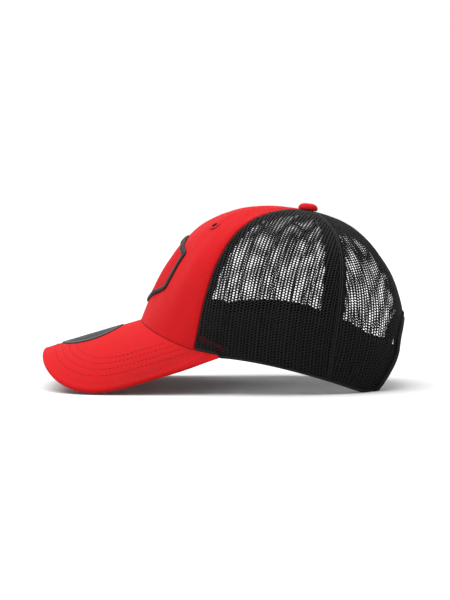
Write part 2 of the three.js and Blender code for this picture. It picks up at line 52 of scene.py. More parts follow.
VISOR_RIDGE_Y = BASE_CENTRE_Y - BASE_HALF_LENGTH
VISOR_RIDGE_Z = 49.7
VISOR_SLOPE = math.radians(16.5)
VISOR_BEND_RADIUS = 96.5
VISOR_CENTRE_Y = -60
VISOR_HALF_WIDTH = 77.5
VISOR_FRONT_REACH = 76
VISOR_REAR_REACH = 200
VISOR_EXPONENT = 3
VISOR_TAIL_ANGLE = math.radians(126)
VISOR_INNER_ANGLE = math.radians(64)
VISOR_TUCK = 3.4
VISOR_SEAM_GAP = 0.25
VISOR_THICKNESS = 3.8
VISOR_TAPER = 0.7
VISOR_TAPER_Y = (-34, -5)
COVER_THICKNESS = 0.8
RIM_RADIUS = VISOR_THICKNESS / 2

TAIL_BASE_ANGLE = math.radians(66.5)
LEG_Y = 101
EDGE_FALL_POWER = 1.5
EDGE_DIP = 2.3
EDGE_DIP_RUN = 4.6
EDGE_BLEND = 0.12
LEVEL_START_Y = -13.5
LEVEL_RUN = 12
LEVEL_LEAD = 4
REAR_FULLNESS = 7

BUTTON_Y = 62
BUTTON_Z = 131.5
BUTTON_RADIUS = 7.3
BUTTON_HEIGHT = 5
TOP_TILT = 0.176
PANEL_TOP = 0.978
TAPE_TOP = 0.945

# Depths below the outer face of the crown.
FRONT_LAYER = (0, 1.6)
NET_LAYER = (0.2, 1.0)
FOLD_DEPTH = 1.15  # inner face of the net's folded edges
TURNED_NET_LAYER = (1.35, 1.75)
LINING_LAYER = (1.9, 2.5)
TAPE_LAYER = (2.8, 3.3)
BAND_LAYER = (3.6, 4.8)
TAB_LAYER = (5.1, 6.1)

TAPE_WIDTH = 10
TAPE_STITCH_PLACE = 0.36  # share of the tape's width, either side of its middle
ALLOWANCE_HEIGHT = 11
BAND_FRONT = 31
BAND_SIDE = 45
BAND_REAR = 36
BAND_SEAM = 5  # height of the sweatband's stitches above the edge

ARCH_HALF_WIDTH = 31
ARCH_SPRING_Z = 28
ARCH_TOP_Z = 50.5
ARCH_EXPONENT = 2.5
LEG_GAP_HALF_WIDTH = 42
BINDING_WIDTH = 6

STRAP_BOTTOM_Z = 9
STRAP_WIDTH = 17

EYELET_RADIUS = 4.2
EYELET_HOLE_RADIUS = 2.2
EYELET_ANGLE = math.radians(35)
EYELET_HEIGHT = 0.585
EMBLEM_HALF_WIDTH = 36
EMBLEM_LOW_Z = 62
EMBLEM_HIGH_Z = 113
EMBLEM_BORDER = 3.6
STICKER_RADIUS = 24
STICKER_Y = -99

COLUMN_PITCH = {"left": 2.5, "right": 2.3}  # the net is stretched a little more on the left
ROW_PITCH = 2.0
SEAM_GAP = 0.15  # half the gap between two panels
TURNED_NET_HEIGHT = 5.4
NET_HOLE = (0.84, 0.75)  # half width and half height of a hole
HOLE_CLOSING = 0.34  # share by which the holes are drawn in towards the button
SIDE_STEP = 0.82  # a step on the sloping sides of the visor, seen in plan
STITCH_ROWS = (10, 15, 20, 25)  # distances in from the visor's edge
QUILT_DEPTH = 0.06

# Pitch, length and radius of the stitches.
VISOR_STITCH = (3.0, 1.4, 0.24)
TAPE_STITCH = (2.6, 1.9, 0.16)
BINDING_STITCH = (2.5, 1.8, 0.16)
BAND_STITCH = (3.0, 2.2, 0.2)

SEAM = math.radians(60)
SIDES = (("left", 1), ("right", -1))


# ---------- the crown's surface ----------
def xyz(x, y, z):
    return np.stack(np.broadcast_arrays(x, y, z), axis=-1).astype(float)


def smoothstep(value, low, high):
    t = np.clip((value - low) / (high - low), 0, 1)
    return t * t * (3 - 2 * t)


def around_crown(angle, front, front_seam, rear_seam, back):
    """Smooth even function of the panel angle with four given values at 0, 60, 120 and 180 degrees."""
    mean = (front + 2 * front_seam + 2 * rear_seam + back) / 6
    first = (front + front_seam - rear_seam - back) / 3
    second = (front - front_seam - rear_seam + back) / 3
    third = (front - 2 * front_seam + 2 * rear_seam - back) / 6
    return mean + first * np.cos(angle) + second * np.cos(2 * angle) + third * np.cos(3 * angle)


def superellipse_radius(angle, along, across, exponent):
    a = np.abs(np.cos(angle) / along) ** exponent
    b = np.abs(np.sin(angle) / across) ** exponent
    return (a + b) ** (-1 / exponent)


def farthest(inside, low, high, steps):
    """Largest values that are still inside, found by halving between two arrays of bounds."""
    for _ in range(steps):
        middle = (low + high) / 2
        within = inside(middle)
        low = np.where(within, middle, low)
        high = np.where(within, high, middle)
    return low


def base_reach(direction):
    return superellipse_radius(direction, BASE_HALF_LENGTH, BASE_HALF_WIDTH, BASE_EXPONENT)


def base_ring(direction):
    radius = base_reach(direction)
    return radius * np.sin(direction), BASE_CENTRE_Y - radius * np.cos(direction)


def visor_height(x, y):
    x = np.clip(x, 1 - VISOR_BEND_RADIUS, VISOR_BEND_RADIUS - 1)
    drop = VISOR_BEND_RADIUS * (1 - np.sqrt(1 - (x / VISOR_BEND_RADIUS) ** 2))
    return VISOR_RIDGE_Z + (y - VISOR_RIDGE_Y) * math.tan(VISOR_SLOPE) - drop / math.cos(VISOR_SLOPE)


TAIL_X, TAIL_Y = base_ring(TAIL_BASE_ANGLE)
TAIL_Z = visor_height(TAIL_X, TAIL_Y)


def edge_height(x, y):
    """Height of the crown's lower edge: along the visor in front, then falling to the table behind."""
    along_visor = visor_height(x, y) - EDGE_DIP * smoothstep(y, TAIL_Y - EDGE_DIP_RUN, TAIL_Y)
    run = np.clip((y - TAIL_Y) / (LEG_Y - TAIL_Y), 0, 1)
    return np.where(y <= TAIL_Y, along_visor, (TAIL_Z - EDGE_DIP) * (1 - run ** EDGE_FALL_POWER))


def rear_fullness(angle):
    """The rear panels are fuller halfway between their seams."""
    from_back = np.arccos(np.clip(-np.cos(angle), -1, 1)) / SEAM
    return REAR_FULLNESS * np.sin(math.pi * np.minimum(from_back, 1)) ** 2


def plain_crown(angle, height):
    """Smooth outer face. Height runs from 0 at the lower edge to 1 at the button."""
    angle, height = np.broadcast_arrays(np.asarray(angle, float), np.asarray(height, float))
    # The front seams meet the edge about 7 degrees forward of their panel angle.
    direction = angle - math.radians(3.64) * np.sin(angle) - math.radians(4.79) * np.sin(2 * angle)
    x, y = base_ring(direction)
    foot = xyz(x, y, edge_height(x, y))
    rise_y = around_crown(angle, -37, -15, 85, 150) + rear_fullness(angle)
    rise = xyz(1.05 * x, rise_y, around_crown(angle, 110, 81, 73, 44))
    top_y = around_crown(angle, -16, 0, 94, 125)
    top_x = 67.5 * np.sin(angle) + 4 * np.sin(2 * angle)
    top = xyz(top_x, top_y, BUTTON_Z + TOP_TILT * (BUTTON_Y - top_y))
    button = xyz(0, BUTTON_Y, BUTTON_Z)
    t = height[..., None]
    low = 1 - t
    return foot * low ** 3 + rise * 3 * low ** 2 * t + top * 3 * low * t ** 2 + button * t ** 3


def across(angle, height):
    step = 1e-4
    return (plain_crown(angle + step, height) - plain_crown(angle - step, height)) / (2 * step)


def up_crown(angle, height):
    step = 1e-4
    return (plain_crown(angle, height + step) - plain_crown(angle, height - step)) / (2 * step)


def unit(vectors):
    return vectors / np.linalg.norm(vectors, axis=-1, keepdims=True)


def lengths(vectors):
    return np.linalg.norm(vectors, axis=-1)


def run_along(points):
    """Distance along a line of points to each of them."""
    return np.concatenate([[0], lengths(np.diff(points, axis=0)).cumsum()])


def stretch(angle, height):
    """Millimetres of cloth for each radian of panel angle."""
    return lengths(across(angle, height))


def crown_normal(angle, height):
    return unit(np.cross(across(angle, height), up_crown(angle, height)))


def softness(angle, height):
    """Outward swells and seam creases of the soft cloth, which die out at the lower edge and the button."""
    nearest = np.round(angle / SEAM) * SEAM
    from_seam = np.abs(angle - nearest) * 85 * (1 - height ** 2)
    crease = -0.7 * np.exp(-(from_seam / 2.6) ** 2)
    swell = 0.45 * np.sin(5.3 * angle + 7 * height) + 0.35 * np.sin(11.7 * angle - 9 * height + 1.3)
    ripple = 0.2 * np.sin(23 * angle + 16 * height) * np.sin(19 * height - 3 * angle)
    return (crease + swell + ripple) * np.minimum(1, height / 0.12) * np.minimum(1, (1 - height) / 0.2)


def offset_crown(angle, height, depth):
    out = softness(angle, height) - depth
    return plain_crown(angle, height) + crown_normal(angle, height) * out[..., None]


def crown_inside(angle, height, depth):
    """A point some depth below the outer face. Near the lower edge every layer ends level with that edge."""
    angle, height, depth = np.broadcast_arrays(*(np.asarray(k, float) for k in (angle, height, depth)))
    point = offset_crown(angle, height, depth)
    foot = offset_crown(angle, np.zeros_like(height), depth)
    outer = plain_crown(angle, 0.0)
    run = outer[..., 1] - LEVEL_START_Y + LEVEL_LEAD * depth
    beside = np.clip(1 - run / LEVEL_RUN, 0, 1)
    slope = visor_height(foot[..., 0], foot[..., 1]) - visor_height(outer[..., 0], outer[..., 1])
    level = edge_height(outer[..., 0], outer[..., 1]) + beside * slope
    fade = np.maximum(0, 1 - height / EDGE_BLEND)
    point[..., 2] += fade * (level - foot[..., 2])
    return point


def band_height(angle):
    """The sweatband stands tallest beside the ears."""
    degrees = np.degrees(np.abs(angle))
    rise = smoothstep(degrees, 66, 110) * (BAND_SIDE - BAND_FRONT)
    fall = smoothstep(degrees, 122, 154) * (BAND_SIDE - BAND_REAR)
    return BAND_FRONT + rise - fall


def beside_seam(seam, height, offset):
    return seam + offset / stretch(seam, height)


def above_edge(angle, distance):
    return distance / lengths(up_crown(angle, 0.0))


def crown_at(x, z, angle, height):
    """Panel angle and height of the points with these X and Z, searched from a starting place."""
    x, z = np.broadcast_arrays(np.asarray(x, float), np.asarray(z, float))
    angle = np.full(x.shape, float(angle))
    height = np.full(x.shape, float(height))
    for _ in range(14):
        miss = plain_crown(angle, height)
        miss_x = x - miss[..., 0]
        miss_z = z - miss[..., 2]
        side = across(angle, height)
        up = up_crown(angle, height)
        area = side[..., 0] * up[..., 2] - side[..., 2] * up[..., 0]
        angle = angle + np.clip((miss_x * up[..., 2] - miss_z * up[..., 0]) / area, -0.3, 0.3)
        height = height + np.clip((side[..., 0] * miss_z - side[..., 2] * miss_x) / area, -0.2, 0.2)
        height = np.clip(height, 0, 0.95)
    return angle, height


# ---------- the visor's surface ----------
def visor_reach(around, margin, side_step):
    """Reach of the visor's edge in plan, stepped in by a margin."""
    along = np.where(np.abs(around) < math.pi / 2, VISOR_FRONT_REACH, VISOR_REAR_REACH) - margin
    return superellipse_radius(around, along, VISOR_HALF_WIDTH - side_step * margin, VISOR_EXPONENT)


def visor_outline(turn, margin, side_step=1.0):
    """Plan of that edge. Turn runs from -1 at the right tail to 1 at the left."""
    around = turn * VISOR_TAIL_ANGLE
    reach = visor_reach(around, margin, side_step)
    return reach * np.sin(around), VISOR_CENTRE_Y - reach * np.cos(around)


def visor_inner(turn, tuck):
    x, y = base_ring(turn * VISOR_INNER_ANGLE)
    kept = 1 - tuck * (1 - turn ** 12) / np.hypot(x, y - BASE_CENTRE_Y)
    return x * kept, BASE_CENTRE_Y + (y - BASE_CENTRE_Y) * kept


def visor_normal(x):
    lean = x / VISOR_BEND_RADIUS
    upright = np.sqrt(1 - lean ** 2)
    return xyz(lean, -math.sin(VISOR_SLOPE) * upright, math.cos(VISOR_SLOPE) * upright)


def visor_point(x, y, depth):
    """A point some depth below the visor's top face. The layers run thin towards the tails."""
    x, y, depth = np.broadcast_arrays(*(np.asarray(k, float) for k in (x, y, depth)))
    depth = depth * (1 - VISOR_TAPER * smoothstep(y, *VISOR_TAPER_Y))
    return xyz(x, y, visor_height(x, y) - VISOR_SEAM_GAP) - visor_normal(x) * depth[..., None]


def margin_at(x, y):
    """How far inside the visor's edge a point of the plan lies, measured on the cloth."""
    around = np.arctan2(x, VISOR_CENTRE_Y - y)
    distance = np.hypot(x, VISOR_CENTRE_Y - y)

    def within(margin):
        return visor_reach(around, margin, SIDE_STEP) > distance
    return farthest(within, np.zeros(np.shape(x)), np.full(np.shape(x), 70.0), 18)


def quilting(x, y):
    """Depth of the shallow channels pulled into the cloth by the rows of stitches."""
    margin = margin_at(x, y)
    depth = sum(QUILT_DEPTH * np.exp(-((margin - row) / 1.1) ** 2) for row in STITCH_ROWS)
    return depth + 0.12 * np.exp(-((margin - 4) / 1.2) ** 2)


# ---------- closed meshes ----------
class Solid:
    """Points, faces that look outwards, and the cloth coordinates of each point."""

    def __init__(self, points, faces, cloth):
        self.points = np.asarray(points, float)
        self.faces = [tuple(face) for face in np.asarray(faces).tolist()] if len(faces) else []
        self.cloth = np.asarray(cloth, float)


def joined(solids):
    points = np.concatenate([s.points for s in solids])
    cloth = np.concatenate([s.cloth for s in solids])
    faces = []
    start = 0
    for s in solids:
        faces.extend(tuple(k + start for k in face) for face in s.faces)
        start += len(s.points)
    whole = Solid(points, [], cloth)
    whole.faces = faces
    return whole


def signed_volume(points, quads):
    a, b, c, d = (points[quads[:, k]] for k in range(4))
    one = np.einsum("ij,ij->i", a, np.cross(b, c))
    two = np.einsum("ij,ij->i", a, np.cross(c, d))
    return (one.sum() + two.sum()) / 6


def measured_cloth(grid):
    """Cloth coordinates of a grid of points: across from its middle column, and up its middle column."""
    sideways = lengths(np.diff(grid, axis=1)).cumsum(axis=1)
    sideways = np.concatenate([np.zeros((len(grid), 1)), sideways], axis=1)
    middle = grid.shape[1] // 2
    upwards = run_along(grid[:, middle])[:, None]
    return np.stack(np.broadcast_arrays(sideways - sideways[:, middle:middle + 1], upwards), axis=-1)


def grid_quads(rows, columns):
    """Quads of a grid of rows by columns of points."""
    j, i = np.mgrid[0:rows - 1, 0:columns - 1]
    first = (j * columns + i).ravel()
    return np.stack([first, first + 1, first + columns + 1, first + columns], axis=1)


def shell(outer, inner):
    """Closed solid between two grids of points of the same size."""
    rows, columns = outer.shape[:2]
    back = rows * columns
    face = grid_quads(rows, columns)
    index = np.arange(back).reshape(rows, columns)
    rim = np.concatenate([index[0, :-1], index[:-1, -1], index[-1, :0:-1], index[:0:-1, 0]])
    following = np.roll(rim, -1)
    side = np.stack([following, rim, rim + back, following + back], axis=1)
    quads = np.concatenate([face, face[:, ::-1] + back, side])
    points = np.concatenate([outer.reshape(-1, 3), inner.reshape(-1, 3)])
    if signed_volume(points, quads) < 0:
        quads = quads[:, ::-1]
    cloth = measured_cloth(outer).reshape(-1, 2)
    return Solid(points, quads, np.concatenate([cloth, cloth]))


def full_turn(count):
    """Evenly spaced angles."""
    return np.arange(count) * 2 * math.pi / count


def circle(sides, right, away):
    """Unit vectors round a full turn, starting from one direction towards the other."""
    turn = full_turn(sides)[:, None]
    return np.cos(turn) * right + np.sin(turn) * away


def loft(sections, closed=False):
    """Solid through rings of points, either closed on itself or with a flat end at each end."""
    count, sides = sections.shape[:2]
    index = np.arange(count * sides).reshape(count, sides)
    following = np.roll(index, -1, axis=1)
    pairs = [(k, (k + 1) % count) for k in range(count if closed else count - 1)]
    quads = [np.stack([index[a], following[a], following[b], index[b]], axis=1) for a, b in pairs]
    quads = np.concatenate(quads)
    points = sections.reshape(-1, 3)
    along = run_along(sections.mean(axis=1))[:, None]
    round_ring = lengths(np.roll(sections, -1, axis=1) - sections).cumsum(axis=1)
    cloth = np.stack(np.broadcast_arrays(round_ring, along), axis=-1).reshape(-1, 2)
    flip = signed_volume(points, quads) < 0
    solid = Solid(points, quads[:, ::-1] if flip else quads, cloth)
    if not closed:
        first = tuple(index[0].tolist())
        last = tuple(index[-1].tolist())
        solid.faces += [first if flip else first[::-1], last[::-1] if flip else last]
    return solid


def eased(count, strength=0.6):
    """Steps from 0 to 1 that are closer together at both ends."""
    t = np.linspace(0, 1, count)
    return t - strength * np.sin(2 * math.pi * t) / (2 * math.pi)


def rolled(distance, radius):
    """Depth of a rounded edge at some distance in from it."""
    part = 1 - np.clip(distance / radius, 0, 1)
    return radius * (1 - np.sqrt(1 - part ** 2))


def add_object(name, data):
    thing = bpy.data.objects.new(name, data)
    bpy.context.scene.collection.objects.link(thing)
    return thing


def mesh_of(name, solid):
    """Mesh in metres, in the CAD frame."""
    mesh = bpy.data.meshes.new(name)
    mesh.from_pydata(((solid.points + [0, CENTRING_SHIFT_Y, 0]) * MM).tolist(), [], solid.faces)
    return mesh


def add_piece(name, solid, material, nodes):
    """Adds a piece of the cap's main body, which stands in for the CAD nodes named."""
    mesh = mesh_of(name, solid)
    layer = mesh.uv_layers.new(name="cloth")
    corners = np.empty(len(mesh.loops), np.int32)
    mesh.loops.foreach_get("vertex_index", corners)
    layer.data.foreach_set("uv", (solid.cloth[corners] * MM).astype(np.float32).ravel())
    mesh.polygons.foreach_set("use_smooth", np.full(len(mesh.polygons), True))
    mesh.materials.append(material)
    piece = add_object(name, mesh)
    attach(piece, "cap")
    if nodes:
        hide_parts(*nodes)
    return piece


# ---------- materials ----------
class Shader:
    """A material's node tree. Its surface coordinates are millimetres of cloth."""

    def __init__(self, name, slot, specular=0.5, sheen=0.0, metallic=0.0):
        self.material = bpy.data.materials.new(name)
        self.material.use_nodes = True
        self.material["slot"] = slot or name
        self.nodes = self.material.node_tree.nodes
        self.surface = self.nodes["Principled BSDF"]
        settings = {"Metallic": metallic, "Sheen Weight": sheen, "Sheen Roughness": 0.4,
                    "Specular IOR Level": specular}
        for socket, value in settings.items():
            self.surface.inputs[socket].default_value = value

    def put(self, target, value):
        if isinstance(value, bpy.types.NodeSocket):
            self.material.node_tree.links.new(value, target)
        else:
            target.default_value = value

    def in_millimetres(self, vector):
        scale = self.nodes.new("ShaderNodeVectorMath")
        scale.operation = "SCALE"
        self.put(scale.inputs[0], vector)
        scale.inputs["Scale"].default_value = 1 / MM
        return scale.outputs[0]

    def cloth(self):
        """Places across and along the cloth."""
        uv = self.nodes.new("ShaderNodeUVMap")
        uv.uv_map = "cloth"
        parts = self.nodes.new("ShaderNodeSeparateXYZ")
        self.put(parts.inputs[0], self.in_millimetres(uv.outputs[0]))
        return parts.outputs[0], parts.outputs[1]

    def math(self, operation, *values):
        node = self.nodes.new("ShaderNodeMath")
        node.operation = operation
        for socket, value in zip(node.inputs, values):
            self.put(socket, value)
        return node.outputs[0]

    def total(self, *parts, base=0.0):
        """Sum of values, each times its share, on top of a base."""
        for value, share in parts:
            base = self.math("MULTIPLY_ADD", value, share, base)
        return base

    def wave(self, value, period):
        """Smooth wave from 0 to 1."""
        sine = self.math("SINE", self.math("MULTIPLY", value, 2 * math.pi / period))
        return self.total((sine, 0.5), base=0.5)

    def noise(self, size, detail, low=0.0, high=1.0):
        """Grain with features of this size. What lies between low and high is spread from 0 to 1."""
        where = self.nodes.new("ShaderNodeTexCoord")
        node = self.nodes.new("ShaderNodeTexNoise")
        self.put(node.inputs["Vector"], self.in_millimetres(where.outputs["Object"]))
        node.inputs["Scale"].default_value = 1 / size
        node.inputs["Detail"].default_value = detail
        spread = self.nodes.new("ShaderNodeMapRange")
        self.put(spread.inputs["Value"], node.outputs["Fac"])
        spread.inputs["From Min"].default_value = low
        spread.inputs["From Max"].default_value = high
        return spread.outputs["Result"]

    def blend(self, factor, first, second):
        """Mix of two colours. Either may be the output of an earlier mix."""
        node = self.nodes.new("ShaderNodeMix")
        node.data_type = "RGBA"
        self.put(node.inputs["Factor"], factor)
        for socket, colour in (("A", first), ("B", second)):
            self.put(node.inputs[socket], (*colour, 1) if isinstance(colour, tuple) else colour)
        return node.outputs["Result"]

    def finish(self, shade, dark, bright, relief, depth, roughness):
        """Sets a colour between two, the roughness, and a bump whose height is relief times depth."""
        bump = self.nodes.new("ShaderNodeBump")
        bump.inputs["Strength"].default_value = 1.0
        bump.inputs["Distance"].default_value = depth * MM
        self.put(bump.inputs["Height"], relief)
        self.put(self.surface.inputs["Base Color"], self.blend(shade, dark, bright))
        self.put(self.surface.inputs["Normal"], bump.outputs["Normal"])
        self.put(self.surface.inputs["Roughness"], roughness)
        return self.material


def twill(name, dark, bright, slot=None, rib=0.8, sheen=0.22):
    """Diagonal ribs crossed by single yarns, with uneven dye and a little lint."""
    s = Shader(name, slot, specular=0.09, sheen=sheen)
    s.surface.inputs["Sheen Tint"].default_value = (*(0.16 + 0.84 * channel for channel in bright), 1)
    across_cloth, along_cloth = s.cloth()
    ribs = s.wave(s.math("ADD", across_cloth, along_cloth), rib * 1.414)
    yarns = s.wave(s.total((along_cloth, -0.35), base=across_cloth), rib * 0.55)
    weave = s.total((ribs, 0.7), (yarns, 0.3))
    dye = s.noise(9, 4, 0.2, 0.8)
    lint = s.noise(0.5, 1, 0.35, 0.75)
    shade = s.total((weave, 0.62), (dye, 0.16), (lint, 0.2))
    relief = s.total((lint, 0.4), base=weave)
    return s.finish(shade, dark, bright, relief, 0.12, s.total((dye, 0.12), base=0.76))


def knit(name, dark, bright):
    """Smooth filament yarn wound round each strand of the net."""
    s = Shader(name, None, specular=0.14)
    across_cloth, along_cloth = s.cloth()
    filament = s.wave(s.total((across_cloth, 0.6), base=along_cloth), 0.32)
    uneven = s.noise(6, 3, 0.3, 0.7)
    shade = s.total((filament, 0.6), (uneven, 0.4))
    return s.finish(shade, dark, bright, filament, 0.06, s.total((uneven, 0.2), base=0.45))


def plain_weave(name, dark, bright, slot=None, thread=0.5, depth=0.07):
    """Over-and-under threads of a lining or tape."""
    s = Shader(name, slot, specular=0.15)
    across_cloth, along_cloth = s.cloth()
    weave = s.math("MULTIPLY", s.wave(across_cloth, thread), s.wave(along_cloth, thread))
    uneven = s.noise(7, 3, 0.3, 0.7)
    shade = s.total((weave, 0.6), (uneven, 0.4))
    return s.finish(shade, dark, bright, weave, depth, s.total((uneven, 0.1), base=0.8))


def satin_stitch(name, dark, bright, slot=None, along=True):
    """Glossy threads laid side by side."""
    s = Shader(name, slot, specular=0.2)
    thread = 0.42
    across_cloth, along_cloth = s.cloth()
    lengthways, sideways = (along_cloth, across_cloth) if along else (across_cloth, along_cloth)
    threads = s.wave(s.total((s.noise(3, 2), 0.35), base=lengthways), thread)
    twist = s.wave(s.math("ADD", sideways, lengthways), thread * 0.6)
    uneven = s.noise(4, 2, 0.3, 0.7)
    relief = s.total((twist, 0.2), base=threads)
    shade = s.total((threads, 0.7), (uneven, 0.3))
    return s.finish(shade, dark, bright, relief, 0.12, s.total((uneven, 0.15), base=0.35))


def printed_vinyl(name):
    """Dark film with plain rings. Its cloth coordinates run round the disc and out from its middle."""
    s = Shader(name, None, specular=0.12)
    _, out = s.cloth()
    rings = 0.0
    for first, last, strength in ((STICKER_RADIUS - 3.4, STICKER_RADIUS - 1.6, 1.0), (11.2, 12.2, 0.7)):
        within = s.math("MULTIPLY", s.math("GREATER_THAN", out, first), s.math("LESS_THAN", out, last))
        rings = s.total((within, strength), base=rings)
    scuff = s.noise(5, 5, 0.35, 0.8)
    film = s.blend(scuff, (0.014, 0.0145, 0.016), (0.024, 0.0245, 0.027))
    print_colour = (0.06, 0.06, 0.063)
    return s.finish(rings, film, print_colour, scuff, 0.02, s.total((scuff, 0.2), base=0.5))


def moulded(name, dark, bright, roughness=0.42, metallic=0.0):
    """Satin surface with fine moulding grain and faint scuffs."""
    s = Shader(name, None, metallic=metallic)
    scuff = s.noise(4, 5, 0.35, 0.75)
    rough = s.total((scuff, 0.18), base=roughness)
    return s.finish(scuff, dark, bright, s.noise(0.35, 2), 0.03, rough)


NEAR_BLACK = (0.002, 0.002, 0.0023)
SOFT_BLACK = (0.007, 0.007, 0.0078)

red_twill = twill("red_twill", (0.255, 0.0018, 0.003), (0.49, 0.0055, 0.0085))
black_mesh = knit("black_mesh", NEAR_BLACK, (0.009, 0.009, 0.0098))
black_lining = plain_weave("black_lining", NEAR_BLACK, SOFT_BLACK)
black_tape = plain_weave("black_tape", NEAR_BLACK, SOFT_BLACK, thread=0.8, depth=0.1)
board_plastic = moulded("visor_board", (0.72, 0.71, 0.66), (0.84, 0.83, 0.79))
black_plastic = moulded("black_plastic", (0.008, 0.008, 0.009), (0.018, 0.018, 0.019))
black_thread = satin_stitch("black_thread", (0.003, 0.003, 0.0035), (0.012, 0.012, 0.013))
red_thread = satin_stitch("red_thread", (0.24, 0.002, 0.003), (0.48, 0.006, 0.009), along=False)
# The visor's thread is red on red cloth. Its darker red is painted shade for the shadows at the ends of the
# stitches.
shaded_seam_thread = satin_stitch("shaded_seam_thread", (0.17, 0.0018, 0.0027), (0.34, 0.0045, 0.0068), "red_thread")
red_fill = twill("red_fill", (0.25, 0.002, 0.0032), (0.48, 0.006, 0.009), "red_thread", rib=0.5, sheen=0.03)
# The turned-up seam allowance is the same red twill. Its colours at about half the twill's are painted shade
# for the inside of the crown.
shaded_red_twill = plain_weave("shaded_red_twill", (0.12, 0.001, 0.002), (0.24, 0.003, 0.004), "red_twill")
grey_vinyl = printed_vinyl("grey_vinyl")
plated_steel = moulded("steel", (0.4, 0.4, 0.42), (0.6, 0.6, 0.62), roughness=0.3, metallic=1.0)


# ---------- crown panels ----------
def panel_span(side, first, last):
    """Panel angles between two seams, running upwards, on either side of the cap."""
    return (first, last) if side > 0 else (-last, -first)


def seam_pucker(height):
    """Small gathers along a sewn seam."""
    return 0.12 * np.sin(height * 150) + 0.08 * np.sin(height * 67 + 1)


def crown_shell(angle, height, outer, inner):
    """Closed sheet between two depths below the crown's outer face."""
    return shell(crown_inside(angle, height, outer), crown_inside(angle, height, inner))


def cloth_panel(start, end, layer, roll, columns, rows):
    """Sheet of cloth between two seams, with its edges rolled in."""
    u = eased(columns)[None, :]
    height = eased(rows, 0.3)[:, None] * PANEL_TOP
    first = beside_seam(start, height, SEAM_GAP)
    last = beside_seam(end, height, -SEAM_GAP)
    angle = first + u * (last - first)
    from_side = np.minimum(u, 1 - u) * stretch(angle, height) * (last - first)
    depth = layer[0] + rolled(from_side, roll) + seam_pucker(height) * np.exp(-(from_side / 3) ** 2)
    return crown_shell(angle, height, depth, layer[1])


def eyelet_frame(side):
    """Centre and the three directions of a vent eyelet."""
    angle = np.array(side * EYELET_ANGLE)
    height = np.array(EYELET_HEIGHT)
    centre = crown_inside(angle, height, 0.0)
    normal = crown_normal(angle, height)
    right = unit(across(angle, height))
    return centre, right, np.cross(normal, right), normal


def drill(piece, centre, normal, radius):
    """Cuts a round hole through a piece with a boolean, applied at once."""
    right = unit(np.cross(normal, [0, 0, 1.0]))
    ring = centre + radius * circle(40, right, np.cross(normal, right))
    rod = loft(np.stack([ring - 8 * normal, ring + 8 * normal]))
    tool = add_object("drill", mesh_of("drill", rod))
    modify(piece, "BOOLEAN", operation="DIFFERENCE", object=tool)
    apply_modifiers(piece)
    bpy.data.objects.remove(tool)


def modify(piece, kind, **settings):
    modifier = piece.modifiers.new(kind.lower(), kind)
    for setting, value in settings.items():
        setattr(modifier, setting, value)


def apply_modifiers(piece):
    graph = bpy.context.evaluated_depsgraph_get()
    done = bpy.data.meshes.new_from_object(piece.evaluated_get(graph))
    piece.modifiers.clear()
    piece.data = done


def add_front_panels():
    for name, side in SIDES:
        span = panel_span(side, 0, SEAM)
        twill_shell = cloth_panel(*span, FRONT_LAYER, 1.3, 90, 110)
        panel = add_piece(f"panel_front_{name}", twill_shell, red_twill, [f"front_panel_{name}"])
        lining_shell = cloth_panel(*span, LINING_LAYER, 0.3, 40, 50)
        lining = add_piece(f"lining_front_{name}", lining_shell, black_lining, [f"front_lining_{name}"])
        centre, _, _, normal = eyelet_frame(side)
        for piece in (panel, lining):
            drill(piece, centre, normal, EYELET_HOLE_RADIUS)


# ---------- mesh panels ----------
def arch_room(x, z):
    """Distance outside the rear opening, negative inside it."""
    flare = (LEG_GAP_HALF_WIDTH - ARCH_HALF_WIDTH) / ARCH_SPRING_Z
    beside = (np.abs(x) - ARCH_HALF_WIDTH - flare * (ARCH_SPRING_Z - z)) / math.hypot(1, flare)
    turn = np.arctan2(np.maximum(z - ARCH_SPRING_Z, 0), np.abs(x))
    reach = superellipse_radius(turn, ARCH_HALF_WIDTH, ARCH_TOP_Z - ARCH_SPRING_Z, ARCH_EXPONENT)
    above = np.hypot(x, z - ARCH_SPRING_Z) - reach
    return np.where(z > ARCH_SPRING_Z, above, beside)


def opening_room(angle, height):
    """That distance for a place on the crown."""
    point = plain_crown(angle, height)
    return arch_room(point[..., 0], point[..., 2])


def back_height(z):
    """Height up the centre back at which the cap stands at this level."""
    return crown_at(0.0, z, math.pi, 0.3)[1].item()


def strands(index, count):
    """Quads from the shared hexagon corners, on top and underneath, to the ring of each hole."""
    cells, sides = index.shape
    hole = 2 * count + np.arange(cells * sides).reshape(cells, sides)
    next_index = np.roll(index, -1, axis=1)
    next_hole = np.roll(hole, -1, axis=1)
    top = np.stack([index, next_index, next_hole, hole], axis=-1).reshape(-1, 4)
    under = np.stack([hole, next_hole, next_index + count, index + count], axis=-1).reshape(-1, 4)
    edges = np.stack([index, next_index], axis=-1).reshape(-1, 2)
    _, first, uses = np.unique(np.sort(edges, axis=1), axis=0, return_index=True, return_counts=True)
    open_edges = edges[first[uses == 1]]
    open_edges = open_edges[open_edges[:, 0] != open_edges[:, 1]]
    a, b = open_edges[:, 0], open_edges[:, 1]
    rim = np.stack([b, a, a + count, b + count], axis=-1)
    return np.concatenate([top, under, rim])


